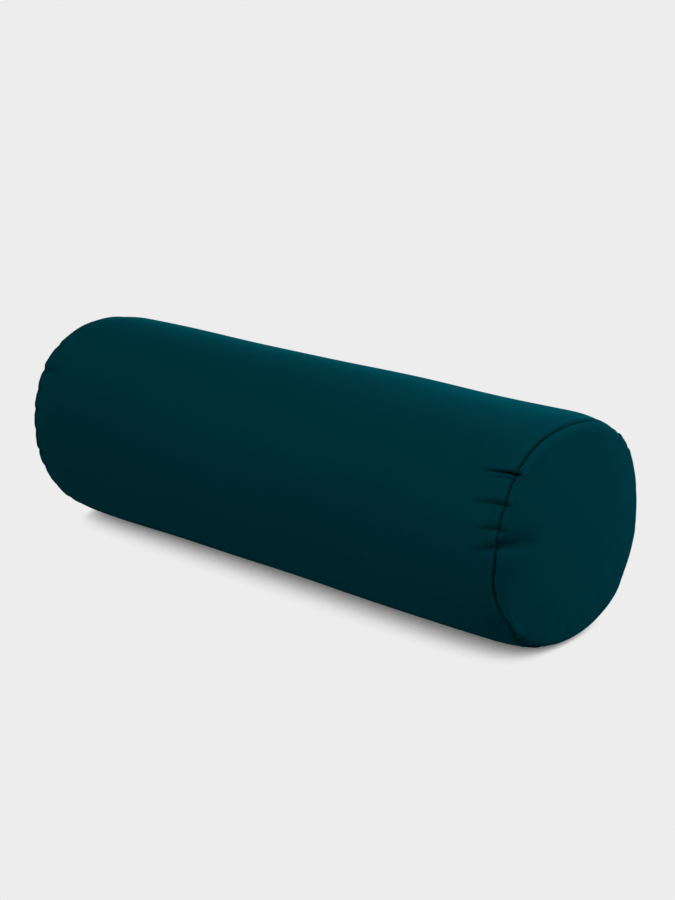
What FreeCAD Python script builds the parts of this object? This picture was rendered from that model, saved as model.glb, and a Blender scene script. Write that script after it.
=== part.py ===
"""Bolster pillow: a firm cylindrical cushion in a removable zipped cotton cover.

The row frame is in millimetres, with +X along the bolster, +Z up, and the origin on the floor under the
middle of the bolster.  The zip runs along the back (+Y side), a little below the axis.  "Left" is -X and
"right" is +X.  Every fabric layer is the same rounded body, offset inwards, so the layers nest.
"""

import FreeCAD
import Part
import math
import os

Vector = FreeCAD.Vector

# ---- Driving dimensions -------------------------------------------------------------------------------
LENGTH = 650.0  # overall, over both domed ends
DIAMETER = 220.0  # of the stuffed body
DOME = 12.0  # how far an end panel stands out past its seam
SEAM_DIAMETER = 211.0  # the end seams pull the fabric in
SHOULDER = 34.0  # length over which the body rounds in towards an end seam
CORNER = 8.0  # radius of an end panel where it turns out of its seam
REST_SAG = 4.0  # how much the body flattens on the floor under its own weight

COVER_CLOTH = 0.8  # heavy cotton drill
LINER_CLOTH = 0.5  # calico
SEAM_ALLOWANCE = 12.0  # cloth turned in past a seam
CLEARANCE = 0.1  # air left between neighbouring pieces
THREAD = 0.4
SEAM_STITCH_INSIDE = 2.0  # from an end seam to its row of thread, on the turned-in edges

CORE_DIAMETER = 184.0
CORE_END_FILLET = 4.0
WADDING_END = 15.0  # wadding thickness at each end, measured at the end seam plane

ZIP_BELOW = 25.0  # degrees below horizontal, on the back
ZIP_OPENING = 500.0
ZIP_GAP = 11.0  # between the folded cloth edges that frame the zip
TAPE_WIDTH = 16.0  # from the zip's centre line to a tape's outer edge
TAPE_THICKNESS = 0.6
TAPE_OVERRUN = 12.0  # tape past each end of the opening
TAPE_EDGE = 0.9  # centre line to a tape's inner edge
TOOTH_PITCH = 1.5
TOOTH_WIDTH = 0.8
TOOTH_TIP = 0.4  # centre line to the teeth's tips, which leaves the slider's wedge its way through
TOOTH_ROOT = 2.0
TOOTH_BACK = 3.2
TOOTH_HEIGHT = 1.45
STOP_LENGTH = 3.0
STOP_GAP = 1.0  # between a stop and the nearest tooth
STITCH_PITCH = 3.2
STITCH_LENGTH = 2.5
TOPSTITCH_FROM_EDGE = 4.0
BARTACK_WIDTH = 2.0
BARTACK_SHORT = 1.0  # how far a bartack stops short of each row of topstitching

SLIDER_LENGTH = 13.0
SLIDER_FRONT_WIDTH = 9.6  # the end that leads when the zip closes
SLIDER_REAR_WIDTH = 8.4
SLIDER_CORNER = 1.8
PLATE_THICKNESS = 1.0
LOWER_PLATE_INSET = 0.3  # the lower plate is this much smaller all round
FLANGE_WIDTH = 0.8
FLANGE_SETBACK = 1.5  # from each end of the slider
WEDGE_WIDTH = 0.5
WEDGE_LENGTH = 3.0
WEDGE_SETBACK = 1.0  # from the front of the slider
BITE = 0.5  # how far the slider's cast parts run into each other
CROWN_LENGTH = 8.0
CROWN_WIDTH = 2.4
CROWN_HEIGHT = 2.7
CROWN_METAL = 0.9
CROWN_ROUNDING = 1.4
PIVOT_RADIUS = 0.6
TAB_LENGTH = 26.0  # from the pivot to the free end
TAB_WIDTH = 7.0
TAB_THICKNESS = 1.2
TAB_HOLE_RADIUS = 1.6
TAB_SIDE_GAP = 0.3  # between the crown and each arm of the tab
TAB_EYE_REACH = 2.6  # how far the eye in the tab runs past the crown

# ---- Worked-out sizes ---------------------------------------------------------------------------------
RADIUS = DIAMETER / 2
AXIS_HEIGHT = RADIUS - REST_SAG
SEAM_X = LENGTH / 2 - DOME
SEAM_DROP = RADIUS - SEAM_DIAMETER / 2
SHOULDER_RADIUS = (SHOULDER**2 + SEAM_DROP**2) / (2 * SEAM_DROP)
SHOULDER_X = SEAM_X - SHOULDER

# Depths of each layer's outer and inner surface below the outside of the cover
DOUBLED_CLOTH = 2 * COVER_CLOTH
FLANGE_OUTER = DOUBLED_CLOTH + CLEARANCE
FLANGE_INNER = FLANGE_OUTER + COVER_CLOTH
COVER_THREAD_OUTER = FLANGE_INNER + CLEARANCE
LINER_OUTER = COVER_THREAD_OUTER + THREAD + 2 * CLEARANCE
LINER_INNER = LINER_OUTER + LINER_CLOTH
LINER_THREAD_OUTER = LINER_INNER + CLEARANCE
WADDING_OUTER = LINER_THREAD_OUTER + THREAD + CLEARANCE
ZIP_POCKET = 1.0  # the inner pillow is pressed this much flatter under the zip

# Heights in the zip, measured from the body's axis
THREAD_BOTTOM = RADIUS + CLEARANCE / 2
TAPE_TOP = RADIUS - DOUBLED_CLOTH - CLEARANCE
TAPE_BOTTOM = TAPE_TOP - TAPE_THICKNESS
TEETH_BOTTOM = TAPE_TOP + CLEARANCE
TEETH_TOP = TEETH_BOTTOM + TOOTH_HEIGHT
PLATE_BOTTOM = TEETH_TOP + 2 * CLEARANCE
PLATE_TOP = PLATE_BOTTOM + PLATE_THICKNESS
LOWER_PLATE_TOP = TAPE_BOTTOM - 2 * CLEARANCE
PIVOT_HEIGHT = PLATE_TOP + (CROWN_HEIGHT - CROWN_METAL) / 2
TEETH_END = ZIP_OPENING / 2 - STOP_LENGTH - STOP_GAP
SLIDER_REST_X = -(TEETH_END - SLIDER_LENGTH / 2)

FAR = 400.0  # longer than anything here, for cutting boxes
TINY = 1e-6
CENTRE = Vector(0, 0, 0)
AXIS_X = Vector(1, 0, 0)
AXIS_Y = Vector(0, 1, 0)


# ---- Helpers ------------------------------------------------------------------------------------------
def box(x, y, z):
    """A box from three (low, high) pairs."""
    return Part.makeBox(x[1] - x[0], y[1] - y[0], z[1] - z[0], Vector(x[0], y[0], z[0]))


def slab(x0, x1):
    """Everything between two planes across the bolster."""
    return box((x0, x1), (-FAR, FAR), (-FAR, FAR))


def on_axis(shape):
    """Moves a shape made around the X axis up to the bolster's own axis."""
    shape.translate(Vector(0, 0, AXIS_HEIGHT))
    return shape


def at_zip(shape):
    """Turns a shape made around the X axis, with the zip on top, to where the zip runs on the back."""
    shape.rotate(CENTRE, AXIS_X, -(90 + ZIP_BELOW))
    return on_axis(shape)


def arc(centre_x, centre_r, radius, start, end):
    """An arc in the profile plane; angles are measured from the radial direction towards +X."""

    def point(angle):
        return Vector(centre_x + radius * math.sin(angle), 0, centre_r + radius * math.cos(angle))

    return Part.Arc(point(start), point((start + end) / 2), point(end)).toShape()


def rounded(depth):
    """The solid inside the surface that lies a given depth below the cover, before it rests on a floor."""
    shoulder = SHOULDER_RADIUS - depth
    turn = math.asin(SHOULDER / shoulder)
    seam_r = RADIUS - SHOULDER_RADIUS + shoulder * math.cos(turn)
    corner = CORNER - depth
    dome = DOME - depth
    bend = math.pi / 2 - 2 * math.atan((dome - corner) / (seam_r - corner))
    cap = corner + (seam_r - corner) / math.cos(bend)
    right = [
        arc(SHOULDER_X, RADIUS - SHOULDER_RADIUS, shoulder, 0, turn),
        arc(SEAM_X, seam_r - corner, corner, 0, bend),
        arc(SEAM_X + dome - cap, 0, cap, bend, math.pi / 2),
    ]
    left = [edge.mirror(CENTRE, AXIS_X) for edge in right]
    body_r = RADIUS - depth
    top = Part.makeLine(Vector(-SHOULDER_X, 0, body_r), Vector(SHOULDER_X, 0, body_r))
    axis = Part.makeLine(Vector(-SEAM_X - dome, 0, 0), Vector(SEAM_X + dome, 0, 0))
    wire = Part.Wire(Part.__sortEdges__([axis, top] + right + left))
    return on_axis(Part.Face(wire).revolve(CENTRE, AXIS_X, 360))


def tube(outer, inner, x0, x1):
    """A round tube about the X axis."""
    start = Vector(x0, 0, 0)
    bore = Part.makeCylinder(inner, x1 - x0, start, AXIS_X)
    return Part.makeCylinder(outer, x1 - x0, start, AXIS_X).cut(bore)


def edges_along(shape, direction):
    """The edges of a shape that start along a direction."""

    def follows(edge):
        return abs(edge.tangentAt(edge.FirstParameter).dot(direction)) > 1 - TINY

    return [edge for edge in shape.Edges if follows(edge)]


def resting(depth):
    """The same solid, flat underneath where it rests."""
    return rounded(depth).common(box((-FAR, FAR), (-FAR, FAR), (depth, FAR)))


def pillow(depth):
    """The same solid for the inner pillow, which is also pressed flat under the zip."""
    top = RADIUS - depth - ZIP_POCKET
    return resting(depth).common(at_zip(box((-FAR, FAR), (-FAR, FAR), (-FAR, top))))


def layer(solid, outer, inner, x0, x1):
    """The part of a layer of cloth between two planes across the bolster."""
    return solid(outer).cut(solid(inner)).common(slab(x0, x1))


def sides(right):
    """The two mirrored copies of a piece, under the names left and right."""
    return {"left": right.mirror(CENTRE, AXIS_X), "right": right}


def save(name, *solids):
    """Writes one node; more than one solid makes it a group."""
    shape = solids[0] if len(solids) == 1 else Part.makeCompound(list(solids))
    shape.exportStep("parts/" + name + ".step")


# ---- Cover --------------------------------------------------------------------------------------------
def cover_wrap():
    """The panel round the body, with its edges doubled at the end seams and beside the zip."""
    end = SEAM_X - CLEARANCE
    half_hem = ZIP_GAP / 2 + SEAM_ALLOWANCE
    single_cloth = resting(COVER_CLOTH).common(slab(-end + SEAM_ALLOWANCE, end - SEAM_ALLOWANCE))
    single_cloth = single_cloth.cut(at_zip(box((-FAR, FAR), (-half_hem, half_hem), (0, FAR))))
    inside = single_cloth.fuse(resting(DOUBLED_CLOTH))
    wrap = resting(0).common(slab(-end, end)).cut(inside)
    half = ZIP_OPENING / 2
    opening = at_zip(box((-half, half), (-ZIP_GAP / 2, ZIP_GAP / 2), (0, FAR)))
    closed_seam = at_zip(box((-FAR, FAR), (-CLEARANCE, CLEARANCE), (0, FAR)))
    return wrap.cut(opening).cut(closed_seam)


def cover_end():
    """A round end panel: a shallow dome whose edge turns in at the seam and lies flat inside the body."""
    turn = SEAM_X + COVER_CLOTH
    dome = layer(resting, 0, COVER_CLOTH, turn - CLEARANCE, FAR)
    fold = layer(resting, 0, FLANGE_INNER, SEAM_X, turn)
    flange = layer(resting, FLANGE_OUTER, FLANGE_INNER, SEAM_X - SEAM_ALLOWANCE, turn)
    return dome.fuse([fold, flange]).removeSplitter()


def end_seam_thread(solid, outer):
    """The ring of thread that holds an end panel, lying on the turned-in edges."""
    x = SEAM_X - SEAM_STITCH_INSIDE
    return layer(solid, outer, outer + THREAD, x - THREAD, x)


def back_seam_threads():
    """Two rows that close the cover's long seam past each end of the zip."""
    start = ZIP_OPENING / 2 + TAPE_OVERRUN + 2 * CLEARANCE
    depth = DOUBLED_CLOTH + CLEARANCE
    ring = rounded(depth).cut(rounded(depth + THREAD))
    reach = SEAM_X - SEAM_ALLOWANCE - 2 * CLEARANCE
    row = ring.common(at_zip(box((start, reach), (-THREAD / 2, THREAD / 2), (0, FAR))))
    return list(sides(row).values())


# ---- Zip ----------------------------------------------------------------------------------------------
def both_tapes(piece):
    """Two pieces, one on each tape: the upper tape lies at -Y in the zip's own frame."""
    lower = at_zip(piece.copy())
    upper = at_zip(piece.mirror(CENTRE, AXIS_Y))
    return {"upper": upper, "lower": lower}


def tape():
    """A woven tape, curved with the body."""
    half = ZIP_OPENING / 2 + TAPE_OVERRUN
    ring = tube(TAPE_TOP, TAPE_BOTTOM, -half, half)
    return ring.common(box((-FAR, FAR), (TAPE_EDGE, TAPE_WIDTH), (0, FAR)))


def teeth(shift):
    """One row of teeth on its cord, cut from a single comb outline; shift staggers it along the zip."""
    count = int(2 * TEETH_END / TOOTH_PITCH) - 1
    outline = [(-TEETH_END, TOOTH_BACK), (-TEETH_END, TOOTH_ROOT)]
    for i in range(count):
        start = -TEETH_END + shift + (i + 0.5) * TOOTH_PITCH - TOOTH_WIDTH / 2
        end = start + TOOTH_WIDTH
        outline += [(start, TOOTH_ROOT), (start, TOOTH_TIP), (end, TOOTH_TIP), (end, TOOTH_ROOT)]
    outline += [(TEETH_END, TOOTH_ROOT), (TEETH_END, TOOTH_BACK), outline[0]]
    face = Part.Face(Part.makePolygon([Vector(x, y, TEETH_BOTTOM) for x, y in outline]))
    return face.extrude(Vector(0, 0, TOOTH_HEIGHT))


def top_stops():
    """The two small stops above the closed end of the teeth, one on each tape."""
    x = (-ZIP_OPENING / 2 + CLEARANCE, -ZIP_OPENING / 2 + STOP_LENGTH)
    stop = box(x, (TOOTH_TIP, TOOTH_BACK), (TEETH_BOTTOM, TEETH_TOP))
    return list(both_tapes(stop).values())


def bottom_stop():
    """The single wide stop that joins both tapes at the open end."""
    x = (ZIP_OPENING / 2 - STOP_LENGTH, ZIP_OPENING / 2 - CLEARANCE)
    return at_zip(box(x, (-TOOTH_BACK, TOOTH_BACK), (TEETH_BOTTOM, TEETH_TOP)))


def topstitching():
    """A row of stitches along one side of the zip, each lying on the cover."""
    row = []
    lean = math.degrees(math.asin((ZIP_GAP / 2 + TOPSTITCH_FROM_EDGE) / RADIUS))
    count = int((ZIP_OPENING + 2 * TAPE_OVERRUN - 2 * BARTACK_WIDTH) / STITCH_PITCH)
    for i in range(count):
        start = (i - (count - 1) / 2) * STITCH_PITCH - STITCH_LENGTH / 2
        across = (-THREAD / 2, THREAD / 2)
        stitch = box((start, start + STITCH_LENGTH), across, (THREAD_BOTTOM, THREAD_BOTTOM + THREAD))
        stitch.rotate(CENTRE, AXIS_X, -lean)
        row.append(stitch)
    return Part.makeCompound(row)


def bartacks():
    """The two dense bars of thread that close off the ends of the opening."""
    reach = ZIP_GAP / 2 + TOPSTITCH_FROM_EDGE - BARTACK_SHORT
    start = ZIP_OPENING / 2 + BARTACK_WIDTH / 2
    ring = tube(THREAD_BOTTOM + THREAD, THREAD_BOTTOM, start, start + BARTACK_WIDTH)
    bar = ring.common(box((-FAR, FAR), (-reach, reach), (0, FAR)))
    return [at_zip(solid) for solid in sides(bar).values()]


def shield(height, inset):
    """A slider plate: wide at the front, narrower at the rear, with rounded corners."""
    half = SLIDER_LENGTH / 2 - inset
    front = SLIDER_FRONT_WIDTH / 2 - inset
    rear = SLIDER_REAR_WIDTH / 2 - inset
    corners = [(-half, -front), (half, -rear), (half, rear), (-half, front), (-half, -front)]
    face = Part.Face(Part.makePolygon([Vector(x, y, height) for x, y in corners]))
    plate = face.extrude(Vector(0, 0, PLATE_THICKNESS))
    return plate.makeFillet(SLIDER_CORNER, edges_along(plate, Vector(0, 0, 1)))


def crown():
    """The bridge on top of the slider that the tab turns under."""
    half = CROWN_LENGTH / 2
    top = PLATE_TOP + CROWN_HEIGHT
    bridge = box((-half, half), (-CROWN_WIDTH / 2, CROWN_WIDTH / 2), (PLATE_TOP - BITE, top))
    upper_edges = [edge for edge in edges_along(bridge, AXIS_Y) if edge.CenterOfMass.z > PLATE_TOP]
    bridge = bridge.makeFillet(CROWN_ROUNDING, upper_edges)
    inner_half = half - CROWN_METAL
    return bridge.cut(box((-inner_half, inner_half), (-FAR, FAR), (PLATE_TOP, top - CROWN_METAL)))


def slider():
    """The slider: two plates joined by a thin wedge, side flanges over the teeth, and the crown."""
    front = -SLIDER_LENGTH / 2
    lower = shield(LOWER_PLATE_TOP - PLATE_THICKNESS, LOWER_PLATE_INSET)
    wedge_x = (front + WEDGE_SETBACK, front + WEDGE_SETBACK + WEDGE_LENGTH)
    wedge_y = (-WEDGE_WIDTH / 2, WEDGE_WIDTH / 2)
    wedge = box(wedge_x, wedge_y, (LOWER_PLATE_TOP - BITE, PLATE_BOTTOM + BITE))
    inner = TOOTH_BACK + 2 * CLEARANCE
    flange_x = (front + FLANGE_SETBACK, -front - FLANGE_SETBACK)
    flange = box(flange_x, (inner, inner + FLANGE_WIDTH), (TAPE_TOP + 2 * CLEARANCE, PLATE_BOTTOM + BITE))
    other_flange = flange.mirror(CENTRE, AXIS_Y)
    body = shield(PLATE_BOTTOM, 0).fuse([lower, wedge, flange, other_flange, crown()]).removeSplitter()
    body.translate(Vector(SLIDER_REST_X, 0, 0))
    return at_zip(body)


def pull_tab():
    """The tab, lying flat towards the open end, with a round bar that turns under the slider's crown."""
    half = TAB_WIDTH / 2
    low = PIVOT_HEIGHT - TAB_THICKNESS / 2
    end = TAB_LENGTH - half
    plate = box((0, end), (-half, half), (low, low + TAB_THICKNESS))
    plate = plate.fuse(Part.makeCylinder(half, TAB_THICKNESS, Vector(end, 0, low)))
    eye_half = CROWN_WIDTH / 2 + TAB_SIDE_GAP
    eye = box((-FAR, CROWN_LENGTH / 2 + TAB_EYE_REACH), (-eye_half, eye_half), (0, FAR))
    hole = Part.makeCylinder(TAB_HOLE_RADIUS, FAR, Vector(end, 0, 0))
    bar = Part.makeCylinder(PIVOT_RADIUS, TAB_WIDTH, Vector(0, -half, PIVOT_HEIGHT), AXIS_Y)
    tab = plate.cut(eye).cut(hole).fuse(bar).removeSplitter()
    tab.translate(Vector(SLIDER_REST_X, 0, 0))
    return at_zip(tab)


# ---- Inner pillow -------------------------------------------------------------------------------------
def liner_wrap():
    """The calico panel round the inner pillow."""
    end = SEAM_X - CLEARANCE
    return layer(pillow, LINER_OUTER, LINER_INNER, -end, end)


def liner_end():
    """A round calico end panel."""
    return layer(pillow, LINER_OUTER, LINER_INNER, SEAM_X, FAR)


def wadding_end():
    """A disc of wadding between the core and an end of the liner."""
    start = SEAM_X - WADDING_END + CLEARANCE
    return pillow(WADDING_OUTER).common(slab(start, FAR))


def wadding_wrap():
    """The sheet of wadding rolled round the core, thinner underneath and under the zip."""
    half = SEAM_X - WADDING_END
    bore = Part.makeCylinder(CORE_DIAMETER / 2 + CLEARANCE, 2 * FAR, Vector(-FAR, 0, 0), AXIS_X)
    return pillow(WADDING_OUTER).common(slab(-half, half)).cut(on_axis(bore))


def foam_core():
    """The firm foam cylinder that holds the pillow's shape."""
    half = SEAM_X - WADDING_END - CLEARANCE
    core = Part.makeCylinder(CORE_DIAMETER / 2, 2 * half, Vector(-half, 0, 0), AXIS_X)
    rims = [edge for edge in core.Edges if edge.Closed and abs(abs(edge.CenterOfMass.x) - half) < TINY]
    return on_axis(core.makeFillet(CORE_END_FILLET, rims))


def main():
    os.makedirs("parts", exist_ok=True)
    save("cover_wrap", cover_wrap())
    for side, solid in sides(cover_end()).items():
        save("cover_end_" + side, solid)
    for side, solid in sides(end_seam_thread(resting, COVER_THREAD_OUTER)).items():
        save("cover_seam_thread_" + side, solid)
    save("back_seam_thread", *back_seam_threads())

    for side, solid in both_tapes(tape()).items():
        save("zip_tape_" + side, solid)
    save("zip_teeth_upper", both_tapes(teeth(0))["upper"])
    save("zip_teeth_lower", both_tapes(teeth(TOOTH_PITCH / 2))["lower"])
    for side, stitches in both_tapes(topstitching()).items():
        save("zip_topstitch_" + side, *stitches.Solids)
    save("zip_top_stops", *top_stops())
    save("zip_bottom_stop", bottom_stop())
    save("zip_bartacks", *bartacks())
    save("zip_slider", slider())
    save("zip_pull_tab", pull_tab())

    save("liner_wrap", liner_wrap())
    for side, solid in sides(liner_end()).items():
        save("liner_end_" + side, solid)
    for side, solid in sides(end_seam_thread(pillow, LINER_THREAD_OUTER)).items():
        save("liner_seam_thread_" + side, solid)
    save("wadding_wrap", wadding_wrap())
    for side, solid in sides(wadding_end()).items():
        save("wadding_end_" + side, solid)
    save("foam_core", foam_core())


main()
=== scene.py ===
import math
from collections import namedtuple

import bpy
import numpy as np
from mathutils import Matrix, Vector


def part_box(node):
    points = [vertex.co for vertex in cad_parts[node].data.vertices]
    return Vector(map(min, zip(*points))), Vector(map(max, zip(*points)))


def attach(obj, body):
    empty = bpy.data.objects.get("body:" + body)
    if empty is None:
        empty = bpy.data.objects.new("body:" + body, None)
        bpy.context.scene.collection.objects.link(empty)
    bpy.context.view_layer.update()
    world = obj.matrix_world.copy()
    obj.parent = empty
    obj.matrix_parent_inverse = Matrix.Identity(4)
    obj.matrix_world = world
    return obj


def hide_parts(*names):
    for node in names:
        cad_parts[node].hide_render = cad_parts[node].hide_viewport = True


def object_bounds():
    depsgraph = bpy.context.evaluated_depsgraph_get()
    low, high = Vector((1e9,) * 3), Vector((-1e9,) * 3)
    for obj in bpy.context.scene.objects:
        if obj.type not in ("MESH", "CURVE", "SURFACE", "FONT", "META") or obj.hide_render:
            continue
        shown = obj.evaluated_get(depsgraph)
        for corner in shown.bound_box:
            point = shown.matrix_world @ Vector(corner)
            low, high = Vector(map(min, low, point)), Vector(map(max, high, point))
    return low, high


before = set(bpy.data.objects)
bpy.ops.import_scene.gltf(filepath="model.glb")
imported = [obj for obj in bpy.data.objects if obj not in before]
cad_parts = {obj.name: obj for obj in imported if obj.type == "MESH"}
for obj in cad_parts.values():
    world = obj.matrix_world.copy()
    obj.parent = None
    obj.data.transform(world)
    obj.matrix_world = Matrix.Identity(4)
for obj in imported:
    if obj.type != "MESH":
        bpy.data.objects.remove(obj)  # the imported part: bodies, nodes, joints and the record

# The bolster lies along X, its zip runs along the back (+Y), and Z is up.  Lengths are in metres.
# An angle round the bolster starts at the top and grows towards the front (-Y).
# Along the cover, "s" is the distance from an end seam: negative on the body, positive on the end panel.
# "side" is 1 for the right end (+X) and -1 for the left.
MM = 0.001
TINY = 1e-9
FULL_TURN = 2 * math.pi
cad_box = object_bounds()


# ---- Sizes read from the frame ----
def corners(node):
    """A CAD node's vertices as an array."""
    return np.array([vertex.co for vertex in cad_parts[node].data.vertices])


RADIUS = (cad_box[1].y - cad_box[0].y) / 2
AXIS_Z = cad_box[1].z - RADIUS
END_X = cad_box[1].x


def radial_span(node):
    """How near to the bolster's axis a node comes, and how far from it."""
    points = corners(node)
    distance = np.hypot(points[:, 1], points[:, 2] - AXIS_Z)
    return distance.min(), distance.max()


def direction_of(*nodes):
    """The angle round the bolster at which nodes lie, taken together."""
    points = np.vstack([corners(name) for name in nodes])
    middle = (points.min(0) + points.max(0)) / 2
    return math.atan2(-middle[1], middle[2] - AXIS_Z)


GAP = 0.1 * MM  # the air that the CAD leaves between neighbours
SEAM_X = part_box("cover_wrap")[1].x + GAP
THREAD_INSIDE = 2 * MM  # from an end seam to its row of thread, on the turned-in edges
SEAM_RADIUS = radial_span("cover_seam_thread_right")[1] + THREAD_INSIDE
ZIP_ANGLE = direction_of("zip_teeth_upper", "zip_teeth_lower")
ZIP_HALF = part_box("zip_bottom_stop")[1].x + GAP
TEETH_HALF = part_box("zip_teeth_upper")[1].x
TEETH_BOTTOM, TEETH_TOP = radial_span("zip_teeth_upper")
TAPE_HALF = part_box("zip_tape_upper")[1].x
TAPE_BOTTOM, TAPE_TOP = radial_span("zip_tape_upper")
STITCH_ARC = RADIUS * (direction_of("zip_topstitch_upper") - ZIP_ANGLE)
STITCH_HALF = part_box("zip_topstitch_upper")[1].x
BARTACK_X = (ZIP_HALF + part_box("zip_bartacks")[1].x) / 2
BACK_SEAM_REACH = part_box("back_seam_thread")[1].x
LINER_DEPTH = RADIUS - radial_span("liner_wrap")[1]
WADDING_DEPTH = RADIUS - radial_span("wadding_wrap")[1]
WADDING_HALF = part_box("wadding_wrap")[1].x
CORE_RADIUS = radial_span("foam_core")[1]
CORE_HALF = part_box("foam_core")[1].x

# ---- The shape's own dimensions ----
SHOULDER = 34 * MM  # length over which the body rounds in towards a seam
CORNER = 8 * MM  # radius of an end panel where it leaves its seam
CLOTH = 0.6 * MM
LINER_CLOTH = 0.5 * MM
HEM_FOLD = 0.5 * MM  # radius of the folded edges beside the zip
SEAM_FOLD = 0.9 * MM  # radius of the edges turned in at an end seam
TURNED_IN = 12 * MM
ZIP_MOUTH = 5.5 * MM  # from the zip's centre line to a folded edge of the cover
SEAM_SLIT = 0.52 * CLOTH  # the same past the zip's ends, where the two edges are sewn together
MOUTH_CLOSING = 1.6 * MM  # length over which the mouth closes past the zip's ends
HEM_SPREAD = 9.2 * MM  # from the centre line to where the cloth no longer draws back from the mouth
CONTACT = 1.6 * MM  # how softly the underside meets the floor
ZIP_POCKET = 1.2 * MM  # how far the inner pillow gives way under the zip

SEAM_DROP = RADIUS - SEAM_RADIUS
BEND = (SHOULDER**2 + SEAM_DROP**2) / (2 * SEAM_DROP)
DOME = END_X - SEAM_X
CORNER_TURN = math.pi / 2 - 2 * math.atan((DOME - CORNER) / (SEAM_RADIUS - CORNER))
CORNER_ARC = CORNER * CORNER_TURN
CAP = CORNER + (SEAM_RADIUS - CORNER) / math.cos(CORNER_TURN)
PANEL_REACH = CORNER_ARC + CAP * (math.pi / 2 - CORNER_TURN)  # seam to the middle of an end panel

SEED = 11

# The stuffing leaves each end a little out of round.  A lobe has a count round the bolster, the angle
# of one of its crests, and a height in millimetres.
Lobes = namedtuple("Lobes", "count angle height")
LOBES = {
    1: [Lobes(4, 39, 2.4), Lobes(2, 106, 0.8)],
    -1: [Lobes(4, 44, 1.3), Lobes(2, 27, 2.7)],
}
# The right-hand seam was not sewn quite true: places where it strays outwards, in millimetres, over degrees.
Stray = namedtuple("Stray", "angle out spread")
STRAYS = [Stray(-6, -0.7, 10), Stray(58, 1.3, 9), Stray(99, -1.9, 10), Stray(125, 5.6, 10)]
STRAY_ON_BODY, STRAY_ON_PANEL = 22 * MM, 11 * MM  # how far each side of the seam follows it

# ---- Folds that the end seams press into the cloth ----
# angle: where the fold meets the seam.  lean: degrees of drift in each 10 mm away from the seam.
# The cloth sinks by depth over the widths upper and lower, on either side, and rises by lip above the fold.
# overlap: how far the cloth above hangs over it.  across: how far the fold runs on over the end panel.
# Lengths are in millimetres.
Fold = namedtuple("Fold", "angle lean length depth upper lower lip overlap across")
FOLD_TAPER = 1.4  # how sharply a fold thins out along its length
NARROWING = 0.4  # the share of its lower width that a fold loses by its far end
LIP_WIDTH = 2.6
LEAN_SPREAD = 6  # degrees either side of a fold that lean with it
HANG_REACH = 3  # how far above a fold the cloth hangs over it
FOLDS = {
    1: [
        Fold(43.2, 1.0, 31, 5.4, 1.3, 2.2, 0.8, 0.9, 4),
        Fold(46.2, 0.9, 24, 2.3, 1.1, 1.8, 0.0, 0.0, 4),
        Fold(59.2, 0.7, 30, 3.8, 2.6, 1.2, 0.9, 0.3, 4),
        Fold(71.1, 0.8, 24, 3.1, 2.6, 2.0, 0.6, 0.0, 5),
        Fold(79.8, 1.5, 24, 2.9, 2.8, 3.2, 0.6, 0.0, 10),
        Fold(92.0, 0.0, 14, 0.7, 2.6, 3.5, 0.2, 0.0, 6),
        Fold(105.0, 0.0, 17, 0.9, 2.6, 3.5, 0.2, 0.0, 7),
        Fold(121.0, -0.6, 16, 1.2, 2.2, 3.2, 0.3, 0.0, 7),
        Fold(137.0, -0.6, 16, 1.1, 2.4, 3.2, 0.3, 0.0, 7),
        Fold(-44.0, 0.3, 18, 2.2, 1.0, 3.2, 0.7, 0.0, 8),
        Fold(-56.0, 0.3, 20, 2.2, 1.2, 3.2, 0.7, 0.0, 8),
        Fold(-24.0, 0.0, 14, 0.7, 2.0, 3.2, 0.2, 0.0, 6),
    ],
    -1: [
        Fold(34.0, 0.5, 22, 1.2, 2.6, 4.0, 0.3, 0.0, 8),
        Fold(50.5, 0.4, 30, 2.2, 2.2, 4.2, 0.6, 0.0, 9),
        Fold(63.0, 0.3, 22, 1.3, 2.8, 4.2, 0.3, 0.0, 8),
        Fold(75.0, 0.2, 25, 1.7, 2.4, 4.2, 0.4, 0.0, 8),
        Fold(88.0, 0.0, 22, 1.4, 2.8, 4.2, 0.4, 0.0, 8),
        Fold(101.0, 0.0, 26, 1.8, 2.4, 4.2, 0.4, 0.0, 8),
        Fold(113.0, -0.3, 20, 1.3, 2.8, 4.2, 0.3, 0.0, 8),
        Fold(127.0, -0.3, 24, 1.6, 2.6, 4.2, 0.4, 0.0, 8),
        Fold(140.0, -0.4, 20, 1.2, 2.8, 4.0, 0.3, 0.0, 8),
    ],
}
HIDDEN_FOLDS = (150.0, 298.0)  # the rest of each seam gets folds scattered at random
HIDDEN_SPACING = 14.0


def scattered_folds(rng):
    """Folds for the part of a seam that turns away to the back."""
    folds = []
    angle = HIDDEN_FOLDS[0]
    while angle < HIDDEN_FOLDS[1]:
        lean, length = rng.uniform(-0.6, 0.6), rng.uniform(14, 26)
        depth, upper, lower = rng.uniform(1.2, 2.8), rng.uniform(1.2, 2.2), rng.uniform(2.8, 3.8)
        folds.append(Fold(angle, lean, length, depth, upper, lower, 0.25 * depth, 0.0, rng.uniform(2, 4)))
        angle += HIDDEN_SPACING * rng.uniform(0.75, 1.3)
    return folds


rng = np.random.default_rng(SEED)
for side in (1, -1):
    FOLDS[side] += scattered_folds(rng)


# ---- Small maths ----
def smooth(t):
    """0 below 0, 1 above 1, and a smooth step between."""
    t = np.clip(t, 0, 1)
    return t * t * (3 - 2 * t)


def bell(t):
    return np.exp(-t * t)


def wrapped(angle):
    """An angle difference brought to within half a turn."""
    return (angle + math.pi) % FULL_TURN - math.pi


def past(angle, degrees):
    """How far angles lie past a mark in degrees, the short way round."""
    return wrapped(angle - math.radians(degrees))


def zeros(*arrays):
    """Zeros in the shape that arrays take together."""
    return np.zeros(np.broadcast(*arrays).shape)


def stacked(*values):
    """Numbers or arrays side by side, as the coordinates of places."""
    return np.stack(np.broadcast_arrays(*values), -1)


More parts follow.
